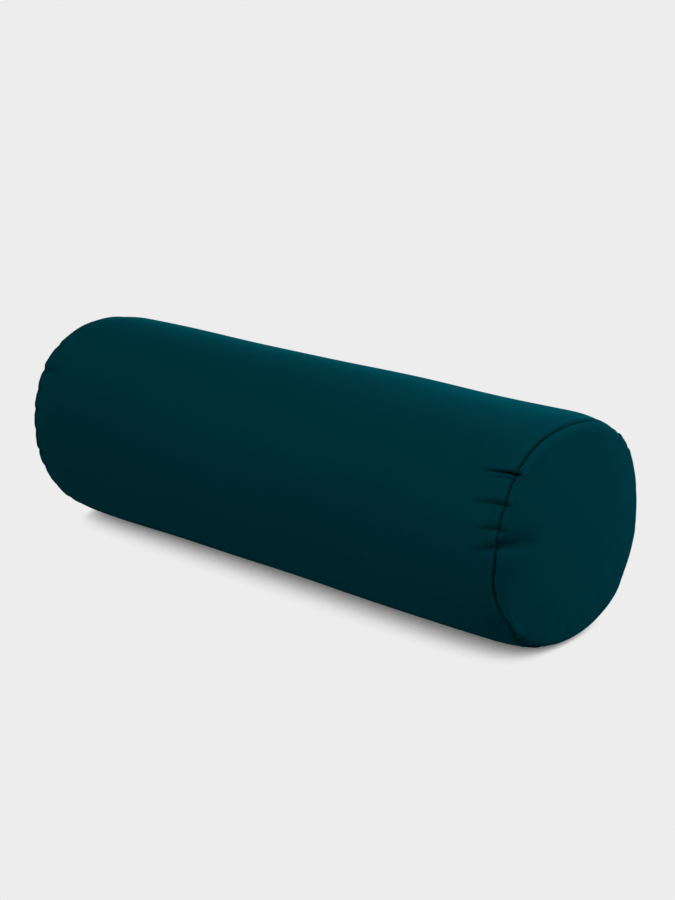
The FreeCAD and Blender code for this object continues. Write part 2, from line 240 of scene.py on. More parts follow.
def on_cylinder(x, radius, angle):
    """Points at a place along the bolster, a distance from its axis and an angle round it."""
    return stacked(x, -radius * np.sin(angle), AXIS_Z + radius * np.cos(angle))


class Waves:
    """Smooth, repeatable noise: a sum of sine waves in random directions, at about one wavelength."""

    def __init__(self, seed, wavelength, count=24):
        rng = np.random.default_rng(seed)
        directions = rng.normal(size=(count, 3))
        directions /= np.linalg.norm(directions, axis=1)[:, None]
        self.vectors = FULL_TURN * directions / (wavelength * rng.uniform(0.7, 1.6, (count, 1)))
        self.phases = rng.uniform(0, FULL_TURN, count)
        self.scale = math.sqrt(2 / count)

    def __call__(self, points):
        total = np.zeros(points.shape[:-1])
        for vector, phase in zip(self.vectors, self.phases):
            total += np.sin(points @ vector + phase)
        return total * self.scale


def cubic_weights(fraction):
    """The four weights of a smooth curve through evenly spaced values, at a fraction past the second."""
    f = fraction
    before = ((2 - f) * f - 1) * f / 2
    here = ((3 * f - 5) * f * f + 2) / 2
    after = ((4 - 3 * f) * f + 1) * f / 2
    return before, here, after, (f - 1) * f * f / 2


class HeightMap:
    """Heights on a grid of stations along the cover and evenly spaced angles round it, read smoothly."""

    def __init__(self, stations, heights):
        self.stations, self.heights = stations, heights

    def __call__(self, station, angle):
        rows, columns = self.heights.shape
        row = np.interp(station, self.stations, np.arange(rows))
        column = (angle / FULL_TURN) % 1 * columns
        row_start, column_start = np.floor(row).astype(int), np.floor(column).astype(int)
        total = np.zeros(np.shape(row))
        for i, row_weight in enumerate(cubic_weights(row - row_start)):
            from_row = np.clip(row_start + i - 1, 0, rows - 1)
            for j, column_weight in enumerate(cubic_weights(column - column_start)):
                from_column = (column_start + j - 1) % columns
                total += row_weight * column_weight * self.heights[from_row, from_column]
        return total


# ---- The cover's surface ----
def outline(s):
    """Distance along X, radius and outward tilt of the cover at a distance s past an end seam."""
    s = np.asarray(s, float)
    lean = np.arcsin(np.clip(s + SHOULDER, 0, SHOULDER) / BEND)
    turn = np.clip(s / CORNER, 0, CORNER_TURN)
    dome = np.clip(CORNER_TURN + (s - CORNER_ARC) / CAP, CORNER_TURN, math.pi / 2)
    body_x, body_r = SEAM_X + s, RADIUS - BEND + BEND * np.cos(lean)
    corner_x, corner_r = SEAM_X + CORNER * np.sin(turn), SEAM_RADIUS - CORNER + CORNER * np.cos(turn)
    dome_x, dome_r = END_X - CAP + CAP * np.sin(dome), CAP * np.cos(dome)
    on_body, on_corner = s <= 0, s <= CORNER_ARC
    x = np.where(on_body, body_x, np.where(on_corner, corner_x, dome_x))
    r = np.where(on_body, body_r, np.where(on_corner, corner_r, dome_r))
    tilt = np.where(on_body, lean, np.where(on_corner, turn, dome))
    return x, r, tilt


def away_from_zip(angle, clear, reach):
    """0 within a distance of the zip's centre line, and 1 once a further reach away."""
    return smooth((RADIUS * np.abs(wrapped(angle - ZIP_ANGLE)) - clear) / reach)


def out_of_round(x, angle):
    """How far the lobes at both ends push the body out of a true cylinder."""
    total = zeros(x, angle)
    for side, lobes in LOBES.items():
        # All of it at its own end, and none within a quarter of the body's length from the other end.
        share = smooth((side * x / SEAM_X + 0.5) / 1.5)
        for lobe in lobes:
            wave = np.cos(lobe.count * (angle - math.radians(lobe.angle)))
            total = total + share * lobe.height * MM * wave
    return total * away_from_zip(angle, 12 * MM, 30 * MM)


def stray(side, s, angle):
    """How far along X a seam wanders from its plane, and the cloth beside it with it."""
    total = zeros(s, angle)
    if side == 1:
        for place in STRAYS:
            total += place.out * MM * bell(np.degrees(past(angle, place.angle)) / place.spread)
    return total * bell(s / np.where(s < 0, STRAY_ON_BODY, STRAY_ON_PANEL))


def settle(z, level):
    """Rests a height softly on the floor; inner layers rest a little higher."""
    above = z - level
    return level + (above + np.sqrt(above**2 + CONTACT**2)) / 2


def surface(side, s, angle, depth=0.0, relief=0.0, roundness=1.0):
    """Points below the outside of the cover, pushed out by the relief, as they lie on the floor."""
    x, r, tilt = outline(s)
    out = relief - depth
    x = side * (x + out * np.sin(tilt) + stray(side, s, angle))
    uneven = out_of_round(x, angle) * np.minimum(r / SEAM_RADIUS, 1) * roundness
    points = on_cylinder(x, np.maximum(r + out * np.cos(tilt) + uneven, 0), angle)
    points[..., 2] = settle(points[..., 2], depth)
    return points


def fold_strength(fold, s):
    """A fold is deepest at the seam.  It tapers off over its length, and runs a little onto the panel."""
    along = np.clip(-s / (fold.length * MM), 0, 1)
    return np.where(s <= 0, (1 - along) ** FOLD_TAPER, bell(s / (fold.across * MM))), along


def below_fold(fold, angle):
    """Millimetres round the body from a fold, growing towards the front and down."""
    return RADIUS * past(angle, fold.angle) / MM


def fold_relief(side, s, angle):
    """How far the folds at one end seam push the cloth out or in."""
    total = zeros(s, angle)
    for fold in FOLDS[side]:
        strength, along = fold_strength(fold, s)
        below = below_fold(fold, angle)
        width = np.where(below < 0, fold.upper, fold.lower * (1 - NARROWING * along))
        lip = fold.lip * bell((below + 2 * fold.upper + 2) / LIP_WIDTH)
        total += (lip - fold.depth * bell(below / width)) * strength * MM
    return total


# Painted shade: the cloth's colour is darkened where it turns away into a seam or a fold, in place of the
# shade that falls there.
SEAM_PAINTED_SHADE_WIDTH = 1.25 * MM  # half the width of the painted shade along an end seam
SEAM_PAINTED_SHADE, SEAM_PAINTED_SHADE_EXTRA = 0.40, 0.38  # painted shade everywhere along the seam, and more added in two stretches of it
EXTRA_PAINTED_SHADE_STRETCHES = ((12, 0.5236), (95, 0.3))  # where each lies, in degrees, and its reach in radians
FULL_PAINTED_SHADE_FOLD = 4.8  # a fold this many millimetres deep gets the full painted shade
SHALLOW_FADE, FAR_FADE = 1.4, 0.35  # how sharply the painted shade fades with a fold's depth, and along it
PAINTED_SHADE_ABOVE, PAINTED_SHADE_BELOW = 0.5, 0.8  # painted shade above a fold: millimetres past its width; below: the share of its width


def crease(side, s, angle):
    """How much painted shade a place gets in a fold or the seam's valley, from 0 to 1."""
    darker = sum(bell(past(angle, place) / reach) for place, reach in EXTRA_PAINTED_SHADE_STRETCHES)
    dark = (SEAM_PAINTED_SHADE + SEAM_PAINTED_SHADE_EXTRA * darker) * bell(s / SEAM_PAINTED_SHADE_WIDTH)
    for fold in FOLDS[side]:
        strength = fold_strength(fold, s)[0]
        below = below_fold(fold, angle)
        near = bell(below / np.where(below < 0, fold.upper + PAINTED_SHADE_ABOVE, PAINTED_SHADE_BELOW * fold.lower))
        depth = (fold.depth / FULL_PAINTED_SHADE_FOLD) ** SHALLOW_FADE
        dark = np.maximum(dark, depth * strength**FAR_FADE * near)
    return np.minimum(dark, 1)


LEAN_UNIT = 10 * MM  # a fold's lean is the drift over this length
LEAN_LENGTH, LEAN_FADE = 30 * MM, 40 * MM  # from a seam to where folds lean no further, and back to none


def fold_slip(side, s, angle):
    """How far, as an angle, cloth is carried round: the folds' lean, and the cloth that hangs over them."""
    lean, share, slip = zeros(s, angle), zeros(s, angle), zeros(s, angle)
    for fold in FOLDS[side]:
        near = bell(np.degrees(past(angle, fold.angle)) / LEAN_SPREAD)
        lean += fold.lean * near
        share += near
        if fold.overlap:
            strength = fold_strength(fold, s)[0]
            above = -below_fold(fold, angle) - 2 * fold.upper
            tucked = 1 - smooth(-above / (2 * fold.upper))
            hang = np.where(above > 0, np.exp(-np.maximum(above, 0) / HANG_REACH), tucked)
            slip += fold.overlap * MM / RADIUS * strength * hang
    inward = np.clip(-s, 0, LEAN_LENGTH) / LEAN_UNIT * (1 - smooth((-s - LEAN_LENGTH) / LEAN_FADE))
    return slip + np.radians(lean / np.maximum(share, 1)) * inward


# A drag line on the right end panel: (angle, share of the seam's radius) where it starts and where it fades.
DRAG_START, DRAG_END = (79.2, 0.985), (74.0, 0.46)
DRAG_DEPTH, DRAG_ABOVE, DRAG_BELOW = 4.2 * MM, 10.5 * MM, 4.0 * MM
DRAG_NARROW, DRAG_WIDENING = 0.7, 0.6  # its share of those widths at the start, and its gain by the end
DRAG_RISE = 0.1  # the share of its length over which it starts
# How much painted shade the drag line gets.
DRAG_LINE_PAINTED_SHADE = 0.5
SWELL, SWELL_PLACE, SWELL_REACH = 2.0 * MM, (85.5, 0.87), 10 * MM
# Low at the front, the panel draws in towards the seam.
HOLLOW, HOLLOW_ANGLE, HOLLOW_SPREAD, HOLLOW_REACH = 3.5 * MM, 112, 38, 26 * MM


def on_disc(place):
    """A place on an end panel, as sideways and upward distances from its middle."""
    turn, reach = math.radians(place[0]), place[1] * SEAM_RADIUS
    return np.array([math.sin(turn), math.cos(turn)]) * reach


def drag_line(s, angle):
    """Where places lie on the end panel: how deep in the drag line, and at which spot of the disc."""
    r = outline(s)[1]
    spot = np.stack([r * np.sin(angle), r * np.cos(angle)], -1)
    start, end = on_disc(DRAG_START), on_disc(DRAG_END)
    run = (end - start) / np.linalg.norm(end - start)
    along = (spot - start) @ run / np.linalg.norm(end - start)
    above = (spot - start) @ np.array([run[1], -run[0]])
    width = np.where(above > 0, DRAG_ABOVE, DRAG_BELOW)
    width = width * (DRAG_NARROW + DRAG_WIDENING * np.clip(along, 0, 1))
    return bell(above / width) * smooth(1 - along) * smooth((along + DRAG_RISE) / DRAG_RISE), spot


def panel_relief(side, s, angle):
    """The drag line on the right end panel, the swell below it and the hollow lower down."""
    if side != 1:
        return zeros(s, angle)
    line, spot = drag_line(s, angle)
    swell = SWELL * bell(np.linalg.norm(spot - on_disc(SWELL_PLACE), axis=-1) / SWELL_REACH)
    hollow = HOLLOW * bell(np.degrees(past(angle, HOLLOW_ANGLE)) / HOLLOW_SPREAD) * bell(s / HOLLOW_REACH)
    return (swell - hollow - DRAG_DEPTH * line) * smooth(s / (4 * MM))


def drag_crease(side, s, angle):
    """Painted shade along the drag line."""
    return DRAG_LINE_PAINTED_SHADE * drag_line(s, angle)[0] if side == 1 else 0 * s


SEAM_PULL = 1.0 * MM  # how far the stitching draws the cloth in beside an end seam
SEAM_PULL_TOP = 1.8 * MM  # and how much further over the top
SEAM_PULL_REACH = 2.0 * MM
PULLED_TOP, PULLED_SPREAD = 10, math.radians(45)  # where the top's further pull lies, and how far it reaches
SEAM_RIDGE = 0.7 * MM  # how far the turned-in edges hold up the body's cloth beside an end seam
RIDGE_WIDTH = 8.0 * MM
LUMPS = 0.5 * MM  # height of the slow unevenness of the whole cover
SEAM_WANDER = 0.35 * MM
HEM_RAISE = 0.3 * MM
STITCH_PULL = 0.35 * MM
HEM_RIPPLE = 0.4 * MM
seam_wander = Waves(SEED + 1, 60 * MM)
lumps = Waves(SEED + 2, 150 * MM)
hem_ripple = Waves(SEED + 3, 24 * MM)
simulated = []  # holds the cloth simulation's height map, once that has run


def cover_relief(side, s, angle):
    """Everything that shapes the cover besides its outline."""
    s, angle = np.broadcast_arrays(s, angle)
    x, r = outline(s)[:2]
    points = stacked(side * x, r * np.sin(angle), r * np.cos(angle))
    total = LUMPS * lumps(points) * smooth(np.abs(s) / (30 * MM))
    total = total + fold_relief(side, s, angle) + panel_relief(side, s, angle)
    pull = SEAM_PULL + SEAM_PULL_TOP * bell(past(angle, PULLED_TOP) / PULLED_SPREAD)
    total = total - pull * bell(s / SEAM_PULL_REACH)
    total = total + SEAM_RIDGE * (smooth((s + RIDGE_WIDTH) / (2.5 * MM)) * smooth(1 - s / MM))
    total = total + SEAM_WANDER * seam_wander(points) * bell(s / (12 * MM))
    for height_map in simulated:
        total = total + height_map(side * (SEAM_X + s), angle)
    return total * away_from_zip(angle, 8 * MM, 24 * MM)


def hem_relief(x, distance):
    """The thicker hem beside the zip and the back seam, drawn in along its row of stitches."""
    stitched = smooth((STITCH_HALF - np.abs(x)) / (4 * MM))
    total = HEM_RAISE * smooth((ZIP_MOUTH + TURNED_IN + 2 * MM - distance) / (4 * MM))
    total = total - STITCH_PULL * bell((distance - STITCH_ARC) / (1.4 * MM)) * stitched
    ripple = HEM_RIPPLE * hem_ripple(stacked(x, 0.0, 0.0)) * bell((distance - STITCH_ARC) / (11 * MM))
    return total + ripple * stitched * smooth((distance - ZIP_MOUTH) / (3 * MM))


def cover_points(station, angle, depth):
    """Points of the cover's body cloth.  Angles run from the zip's upper edge round to its lower edge."""
    station, angle, depth = np.broadcast_arrays(station, angle, depth)
    from_upper = RADIUS * (angle - ZIP_ANGLE)
    from_lower = RADIUS * (ZIP_ANGLE + FULL_TURN - angle)
    opened = smooth((ZIP_HALF + MOUTH_CLOSING / 2 - np.abs(station)) / MOUTH_CLOSING)
    mouth = SEAM_SLIT + (ZIP_MOUTH - SEAM_SLIT) * opened
    upper_share, lower_share = smooth(1 - from_upper / HEM_SPREAD), smooth(1 - from_lower / HEM_SPREAD)
    distance = np.maximum(np.minimum(from_upper, from_lower), 0) + mouth * (upper_share + lower_share)
    turned = angle + mouth / RADIUS * (upper_share - lower_share)
    points = np.empty(station.shape + (3,))
    for side in (1, -1):
        here = side * (station + TINY) > 0
        s, round_it = np.abs(station[here]) - SEAM_X, turned[here]
        relief = cover_relief(side, s, round_it) + hem_relief(station[here], distance[here])
        slipped = round_it + fold_slip(side, s, round_it)
        points[here] = surface(side, s, slipped, depth[here], relief)
    return points


# ---- Meshes ----
def enclosed_volume(points, faces):
    """Six times the volume inside closed faces; negative when they face inwards."""
    total = 0.0
    for block in faces:
        first = points[block[:, 0]]
        for k in range(1, block.shape[1] - 1):
            total += (np.cross(first, points[block[:, k]]) * points[block[:, k + 1]]).sum()
    return total


def make_object(name, points, faces, weave=None, wear_and_painted_shade=None):
    """A closed mesh from an array of points and arrays of faces, each with one count of corners.

    weave holds each point's place in the cloth, for its material.  The last argument is above 0 on rubbed
    edges, where the cloth is worn, and below 0 in creases and seams, where it carries painted shade.
    """
    faces = [faces] if isinstance(faces, np.ndarray) else faces
    if enclosed_volume(points, faces) < 0:
        faces = [block[:, ::-1] for block in faces]
    mesh = bpy.data.meshes.new(name)
    mesh.vertices.add(len(points))
    mesh.vertices.foreach_set("co", np.asarray(points, np.float32).ravel())
    loops = np.concatenate([block.ravel() for block in faces])
    sizes = np.concatenate([np.full(len(block), block.shape[1]) for block in faces])
    starts = np.concatenate([[0], np.cumsum(sizes)[:-1]])
    mesh.loops.add(len(loops))
    mesh.loops.foreach_set("vertex_index", loops.astype(np.int32))
    mesh.polygons.add(len(sizes))
    mesh.polygons.foreach_set("loop_start", starts.astype(np.int32))
    mesh.polygons.foreach_set("use_smooth", np.ones(len(sizes), bool))
    extras = [("weave", weave, "FLOAT_VECTOR", "vector"), ("wear_and_painted_shade", wear_and_painted_shade, "FLOAT", "value")]
    for key, values, kind, field in extras:
        if values is not None:
            attribute = mesh.attributes.new(key, kind, "POINT")
            attribute.data.foreach_set(field, np.asarray(values, np.float32).ravel())
    mesh.update(calc_edges=True)
    mesh.validate()
    piece = bpy.data.objects.new(name, mesh)
    bpy.context.scene.collection.objects.link(piece)
    return piece


def grid_quads(rows, columns, closed=False, first=0):
    """The quads of a grid of points, row by row; a closed grid joins its last column to its first."""
    index = first + np.arange(rows * columns).reshape(rows, columns)
    if closed:
        index = np.concatenate([index, index[:, :1]], 1)
    a, b, c, d = index[:-1, :-1], index[:-1, 1:], index[1:, 1:], index[1:, :-1]
    return np.stack([a.ravel(), b.ravel(), c.ravel(), d.ravel()], 1)


def vertex_normals(points, quads):
    a, b, c, d = points[quads.T]
    face_normals = np.cross(c - a, d - b)
    normals = np.zeros_like(points)
    for corner in range(4):
        np.add.at(normals, quads[:, corner], face_normals)
    return normals / np.maximum(np.linalg.norm(normals, axis=1), TINY**2)[:, None]


def cloth_object(name, points, quads, thickness, weave, wear_and_painted_shade=None):
    """A sheet of cloth as a closed solid, given its middle surface: two faces and a rim round its edges."""
    used = np.unique(quads)
    index = np.zeros(len(points), int)
    index[used] = np.arange(len(used))
    points, quads, weave = points[used], index[quads], weave[used]
    count = len(points)
    half = vertex_normals(points, quads) * thickness / 2
    edges = np.concatenate([quads[:, [k, (k + 1) % 4]] for k in range(4)])
    keys = np.sort(edges, 1) @ np.array([count, 1])
    where, uses = np.unique(keys, return_index=True, return_counts=True)[1:]
    rim = edges[where[uses == 1]]
    rim_quads = np.stack([rim[:, 1], rim[:, 0], rim[:, 0] + count, rim[:, 1] + count], 1)
    faces = np.vstack([quads, quads[:, ::-1] + count, rim_quads])
    wear_and_painted_shade = None if wear_and_painted_shade is None else np.tile(wear_and_painted_shade[used], 2)
    both = np.vstack([points + half, points - half])
    return make_object(name, both, faces, np.vstack([weave, weave]), wear_and_painted_shade)


def unit(vectors):
    return vectors / np.linalg.norm(vectors, axis=2)[..., None]


def tube(name, paths, reference, radius, sides=6):
    """Round strands along an array of paths (strand, point, xyz), with flat ends."""
    along = unit(np.gradient(paths, axis=1))
    across = unit(np.cross(along, np.broadcast_to(reference, paths.shape)))
    up = np.cross(across, along)
    turn = np.arange(sides) * FULL_TURN / sides
    ring = up[..., None, :] * np.cos(turn)[:, None] + across[..., None, :] * np.sin(turn)[:, None]
    points = paths[..., None, :] + radius * ring
    strands, length = paths.shape[:2]
    quads = np.concatenate([grid_quads(length, sides, True, k * length * sides) for k in range(strands)])
    first = (np.arange(strands) * length * sides)[:, None]
    start_caps = first + np.arange(sides)
    end_caps = (first + (length - 1) * sides + np.arange(sides))[:, ::-1]
    steps = np.linalg.norm(np.diff(paths, axis=1, prepend=paths[:, :1]), axis=2).cumsum(1)
    weave = stacked(steps[..., None], radius * turn, 0.0)
    faces = [quads, np.vstack([start_caps, end_caps])]
    return make_object(name, points.reshape(-1, 3), faces, weave.reshape(-1, 3))


def disc_grid(columns):
    """A square grid folded round into a disc: its radius, its share of a turn, its quads and its rim."""
    n = columns // 4
    a, b = np.meshgrid(np.linspace(-1, 1, n + 1), np.linspace(-1, 1, n + 1), indexing="ij")
    radius = np.maximum(np.abs(a), np.abs(b))
    wide = np.abs(a) >= np.abs(b)
    safe = np.where(radius == 0, 1, radius)
    # The turn counts eighths of a full turn.
    turn = np.where(wide, np.where(a > 0, 0, 4) + b / safe * np.where(a > 0, 1, -1), 0)
    turn = np.where(~wide, np.where(b > 0, 2, 6) - a / safe * np.where(b > 0, 1, -1), turn)
    share = ((turn / 8) % 1).ravel()
    rim = np.flatnonzero((radius == 1).ravel())
    return radius.ravel(), share, grid_quads(n + 1, n + 1)[:, ::-1], rim[np.argsort(share[rim])]


# ---- Where the meshes have their points ----
WIDEST_COLUMN = 4.4 * MM
WIDEST_STATION, WIDEST_INNER_STATION = 6.6 * MM, 11 * MM
FINEST_AT_HEM = 1.1 * MM
FINEST_AT_SEAM = 0.7 * MM
SPREADING = 0.38  # how fast columns spread out with distance from a fold or a hem
STATION_GROWTH, RING_GROWTH = 1.13, 1.15  # how fast rows spread out with distance from a seam
RINGS_REACH = 15 * MM  # from an end seam to the last ring of its panel
ANGLE_SAMPLES = 20001
MOUTH_STATIONS = np.array([-1.4, -0.8, -0.3, 0.2, 0.8, 1.4]) * MM  # about each end of the zip's mouth
MOUTH_CLEAR = 2.5 * MM


def column_angles():
    """Angles of the columns from the zip right round to the zip again, close together at folds and hems."""
    turn = np.linspace(0, FULL_TURN, ANGLE_SAMPLES)
    stitch_turn = STITCH_ARC / RADIUS
    marks = [(ZIP_ANGLE + turn_to, FINEST_AT_HEM) for turn_to in (0, stitch_turn, -stitch_turn)]
    for folds in FOLDS.values():
        marks += [(math.radians(fold.angle), 0.6 * fold.upper * MM) for fold in folds]
    spacing = np.full(turn.size, WIDEST_COLUMN)
    for angle, finest in marks:
        distance = RADIUS * np.abs(wrapped(ZIP_ANGLE + turn - angle))
        spacing = np.minimum(spacing, finest + SPREADING * distance)
    steps = np.concatenate([[0], np.cumsum((1 / spacing[1:] + 1 / spacing[:-1]) / 2)]) * RADIUS * turn[1]
    count = 4 * round(steps[-1] / 4)
    return ZIP_ANGLE + np.interp(np.arange(count + 1) / count, steps / steps[-1], turn)


ANGLES = column_angles()  # one more than there are columns: the last is the first, a turn later
ROUND = ANGLES[:-1]
COLUMNS = len(ROUND)


def body_stations(reach, widest):
    """Positions along the body, closer together near its ends and where the zip's mouth closes."""
    x, step, stations = reach, FINEST_AT_SEAM, []
    while x > 0:
        stations.append(x)
        x -= step
        step = min(step * STATION_GROWTH, widest)
    stations = [x for x in stations if abs(x - ZIP_HALF) > MOUTH_CLEAR and x > widest / 3]
    half = np.sort(np.concatenate([stations, ZIP_HALF + MOUTH_STATIONS]))
    return np.concatenate([-half[::-1], [0], half])


def fold_path(radius, reach, steps=6):
    """Along and down of an edge as it rolls over and turns back under, starting flat."""
    turn = np.linspace(0, math.pi, steps + 1)[1:]
    back = np.linspace(0, -reach, 5)[1:]
    along = np.concatenate([radius * np.sin(turn), back])
    return along, np.concatenate([radius * (1 - np.cos(turn)), np.full(len(back), 2 * radius)])


def with_folds(flat, start_fold, end_fold, down):
    """A flat run of points with a folded edge at both ends: their places, depths, and which are folded."""
    places = np.concatenate([start_fold[::-1], flat, end_fold])
    depth = np.concatenate([down[::-1], np.zeros(len(flat)), down])
    order = np.arange(len(places))
    return places, depth, (order < len(down)) | (order >= len(places) - len(down))


# ---- The cover ----
HEM_WEAR = 1.2 * MM  # how far from the folded edges beside the zip the cloth is rubbed
PANEL_CLEAR = 0.02 * MM  # between the two turned-in edges at an end seam


def body_panel():
    """The cover's wrap: one sheet with its ends turned in at the seams and its edges folded at the zip."""
    stations = body_stations(SEAM_X - SEAM_FOLD, WIDEST_STATION)
    fold_x, fold_down = fold_path(SEAM_FOLD, TURNED_IN)
    x, end_depth, end_fold = with_folds(stations, stations[0] - fold_x, stations[-1] + fold_x, fold_down)

    hem_out, hem_down = fold_path(HEM_FOLD, ZIP_MOUTH + TURNED_IN)
    edge = HEM_FOLD / RADIUS
    inside = ANGLES[(ANGLES > ANGLES[0] + 1.5 * edge) & (ANGLES < ANGLES[-1] - 1.5 * edge)]
    upper_hem, lower_hem = ANGLES[0] + edge - hem_out / RADIUS, ANGLES[-1] - edge + hem_out / RADIUS
    angle, hem_depth, hem_fold = with_folds(inside, upper_hem, lower_hem, hem_down)

    x, angle = x[:, None], angle[None, :]
    depth = CLOTH / 2 + end_depth[:, None] + hem_depth[None, :]
    points = cover_points(x, angle, depth).reshape(-1, 3)
    weave = stacked(RADIUS * angle, x, 0.0).reshape(-1, 3)
    from_hem = np.minimum(angle - ZIP_ANGLE, ZIP_ANGLE + FULL_TURN - angle) * RADIUS
    # Above 0: real wear on the rubbed edges beside the zip.  Below 0: painted shade in the seams and folds.
    painted_shade_on_body = np.where(x > 0, crease(1, x - SEAM_X, angle), crease(-1, -x - SEAM_X, angle))
    wear_and_painted_shade = (bell(from_hem / HEM_WEAR) - painted_shade_on_body).ravel()

    quads = grid_quads(*depth.shape)
    both_folds = (end_fold[:, None] & hem_fold[None, :]).ravel()
    quads = quads[~both_folds[quads].any(1)]
    return cloth_object("cover_body", points, quads, CLOTH, weave, wear_and_painted_shade)


def end_rings(under):
    """Distances past the seam, and depths, of an end panel's rings from its turned-in edge outwards."""
    turn = np.linspace(0, math.pi / 2, 5)
    flange = np.linspace(-TURNED_IN, -1.5 * MM, 5)
    under_turn, over_turn = SEAM_FOLD * np.sin(turn[1:]), SEAM_FOLD * (2 - np.cos(turn))
    out, step = [over_turn[-1]], FINEST_AT_SEAM
    while out[-1] < RINGS_REACH:
        out.append(out[-1] + step)
        step *= RING_GROWTH
    s = np.concatenate([flange, under_turn, over_turn, out[1:]])
    depth = [np.full(len(flange), under), under - SEAM_FOLD * (1 - np.cos(turn[1:]))]
    depth += [SEAM_FOLD * (1 - np.sin(turn)), np.zeros(len(out) - 1)]
    return s, np.concatenate(depth)


def panel_points(side, s, angle, depth):
    """Points of an end panel's cloth."""
    slipped = angle + fold_slip(side, s, angle) * (s < 0)
    return surface(side, s, slipped, depth, cover_relief(side, s, angle))


def panel_sheet(side, s, depth):
    """The middle surface of a round panel: rings, then a folded grid that fills the middle."""
    rings = panel_points(side, s[:, None], ROUND[None, :], depth[:, None])
    radius, share, disc_quads, rim = disc_grid(COLUMNS)
    disc_s = PANEL_REACH - radius * (PANEL_REACH - s[-1])
    disc_angle = np.interp(share * COLUMNS, np.arange(COLUMNS + 1), ANGLES)
    disc = panel_points(side, disc_s, disc_angle, depth[-1])
    index = rings.shape[0] * COLUMNS + np.arange(len(disc))
    index[rim] = (len(s) - 1) * COLUMNS + np.arange(COLUMNS)
    quads = np.vstack([grid_quads(len(s), COLUMNS, True), index[disc_quads]])
    reach = np.concatenate([np.repeat(s, COLUMNS), disc_s])
    return np.vstack([rings.reshape(-1, 3), disc]), quads, reach


def end_panel(side, word):
    """A round panel of the cover, its edge turned in under the body's own turned-in edge."""
    s, depth = end_rings(2 * SEAM_FOLD + CLOTH + PANEL_CLEAR)
    points, quads, reach = panel_sheet(side, s, depth + CLOTH / 2)
    angle = np.arctan2(-points[:, 1], points[:, 2] - AXIS_Z)
    # Painted shade in the seam, the folds and the drag line.
    wear_and_painted_shade = -np.maximum(crease(side, reach, angle), drag_crease(side, reach, angle))
    return cloth_object("cover_panel_" + word, points, quads, CLOTH, points[:, [1, 2, 0]], wear_and_painted_shade)


# ---- Thread ----
THREAD_RADIUS = 0.19 * MM
STITCH_PITCH, STITCH_LENGTH = 3.2 * MM, 2.5 * MM
TACK_PASSES, TACK_HALF, TACK_THREAD = 44, 1.0 * MM, 0.2 * MM


def stitch_row(name, points_at, starts, length, height, dip, radius=THREAD_RADIUS):
    """Stitches that begin at given places and lie at a height over a surface, with ends that dip into it."""
    t = np.linspace(0, 1, 7)[None, :]
    places = starts[:, None] + length * t
    paths = points_at(places, -height + dip * (2 * t - 1) ** 6)
    outward = paths - np.array([0, 0, AXIS_Z])
    outward[..., 0] = 0
    return tube(name, paths, outward, radius)


def topstitching(word):
    """The row of stitches on one side of the zip."""
    count = round((2 * STITCH_HALF - STITCH_LENGTH) / STITCH_PITCH) + 1
    starts = (np.arange(count) - (count - 1) / 2) * STITCH_PITCH - STITCH_LENGTH / 2
    turn = STITCH_ARC / RADIUS
    angle = ZIP_ANGLE + (turn if word == "upper" else FULL_TURN - turn)

    def points_at(x, depth):
        return cover_points(x, angle, depth)

    return stitch_row("zip_stitches_" + word, points_at, starts, STITCH_LENGTH, 0.11 * MM, 0.4 * MM)


def seam_stitches(name, side, depth, radius):
    """The ring of stitches that holds an end panel, on the edges turned in at the seam."""
    s = -THREAD_INSIDE
    count = int(FULL_TURN * SEAM_RADIUS / STITCH_PITCH)
    starts = np.arange(count) * FULL_TURN / count

    def points_at(angle, lift):
        return surface(side, s, angle, depth + lift, cover_relief(side, s, angle))

    return stitch_row(name, points_at, starts, STITCH_LENGTH / RADIUS, 0.0, -0.1 * MM, radius)


def back_seam_stitches():
    """The stitches that close the cover's long seam past each end of the zip, inside its folded edges."""
    run = BACK_SEAM_REACH - TAPE_HALF - GAP
    starts = TAPE_HALF + GAP + np.arange(int(run / STITCH_PITCH)) * STITCH_PITCH
    starts = np.concatenate([-starts[::-1] - STITCH_LENGTH, starts])

    def points_at(x, lift):
        s = np.abs(x) - SEAM_X
        depth = 2 * HEM_FOLD + CLOTH + 0.25 * MM + lift
        ends = [surface(side, s, ZIP_ANGLE, depth, cover_relief(side, s, ZIP_ANGLE)) for side in (-1, 1)]
        return np.where(x[..., None] < 0, ends[0], ends[1])

    return stitch_row("back_seam_stitches", points_at, starts, STITCH_LENGTH, 0.0, -0.15 * MM)


def at_zip(x, across, radius):
    """Points near the zip: along it, up across it from its centre line, and out from the bolster's axis."""
    return on_cylinder(x, radius, ZIP_ANGLE + across / RADIUS)


def bartacks():
    """The dense zigzags of thread that close off both ends of the zip's opening."""
    t = np.linspace(0, 1, TACK_PASSES * 4 + 1)
    swing = np.abs((t * TACK_PASSES + 0.5) % 2 - 1) * 2 - 1
    across = (STITCH_ARC - 1 * MM) * (2 * t - 1)
    arch = RADIUS + HEM_RAISE + (0.14 + 0.12 * (1 - swing**4)) * MM
    paths = [at_zip(end * (BARTACK_X + TACK_HALF * swing), across, arch) for end in (-1, 1)]
    return tube("zip_end_tacks", np.array(paths), np.array([0, 0, 1.0]), TACK_THREAD)


# ---- Zip ----
TOOTH_PITCH = 1.5 * MM
WIRE = 0.27 * MM
COIL_TIP, COIL_BACK = 0.33 * MM, 3.05 * MM  # across from the zip's centre line
TAPE_EDGE, TAPE_WIDTH = 0.4 * MM, 16 * MM
TAPE_RIB, RIB_HEIGHT = 1.3 * MM, 0.05 * MM


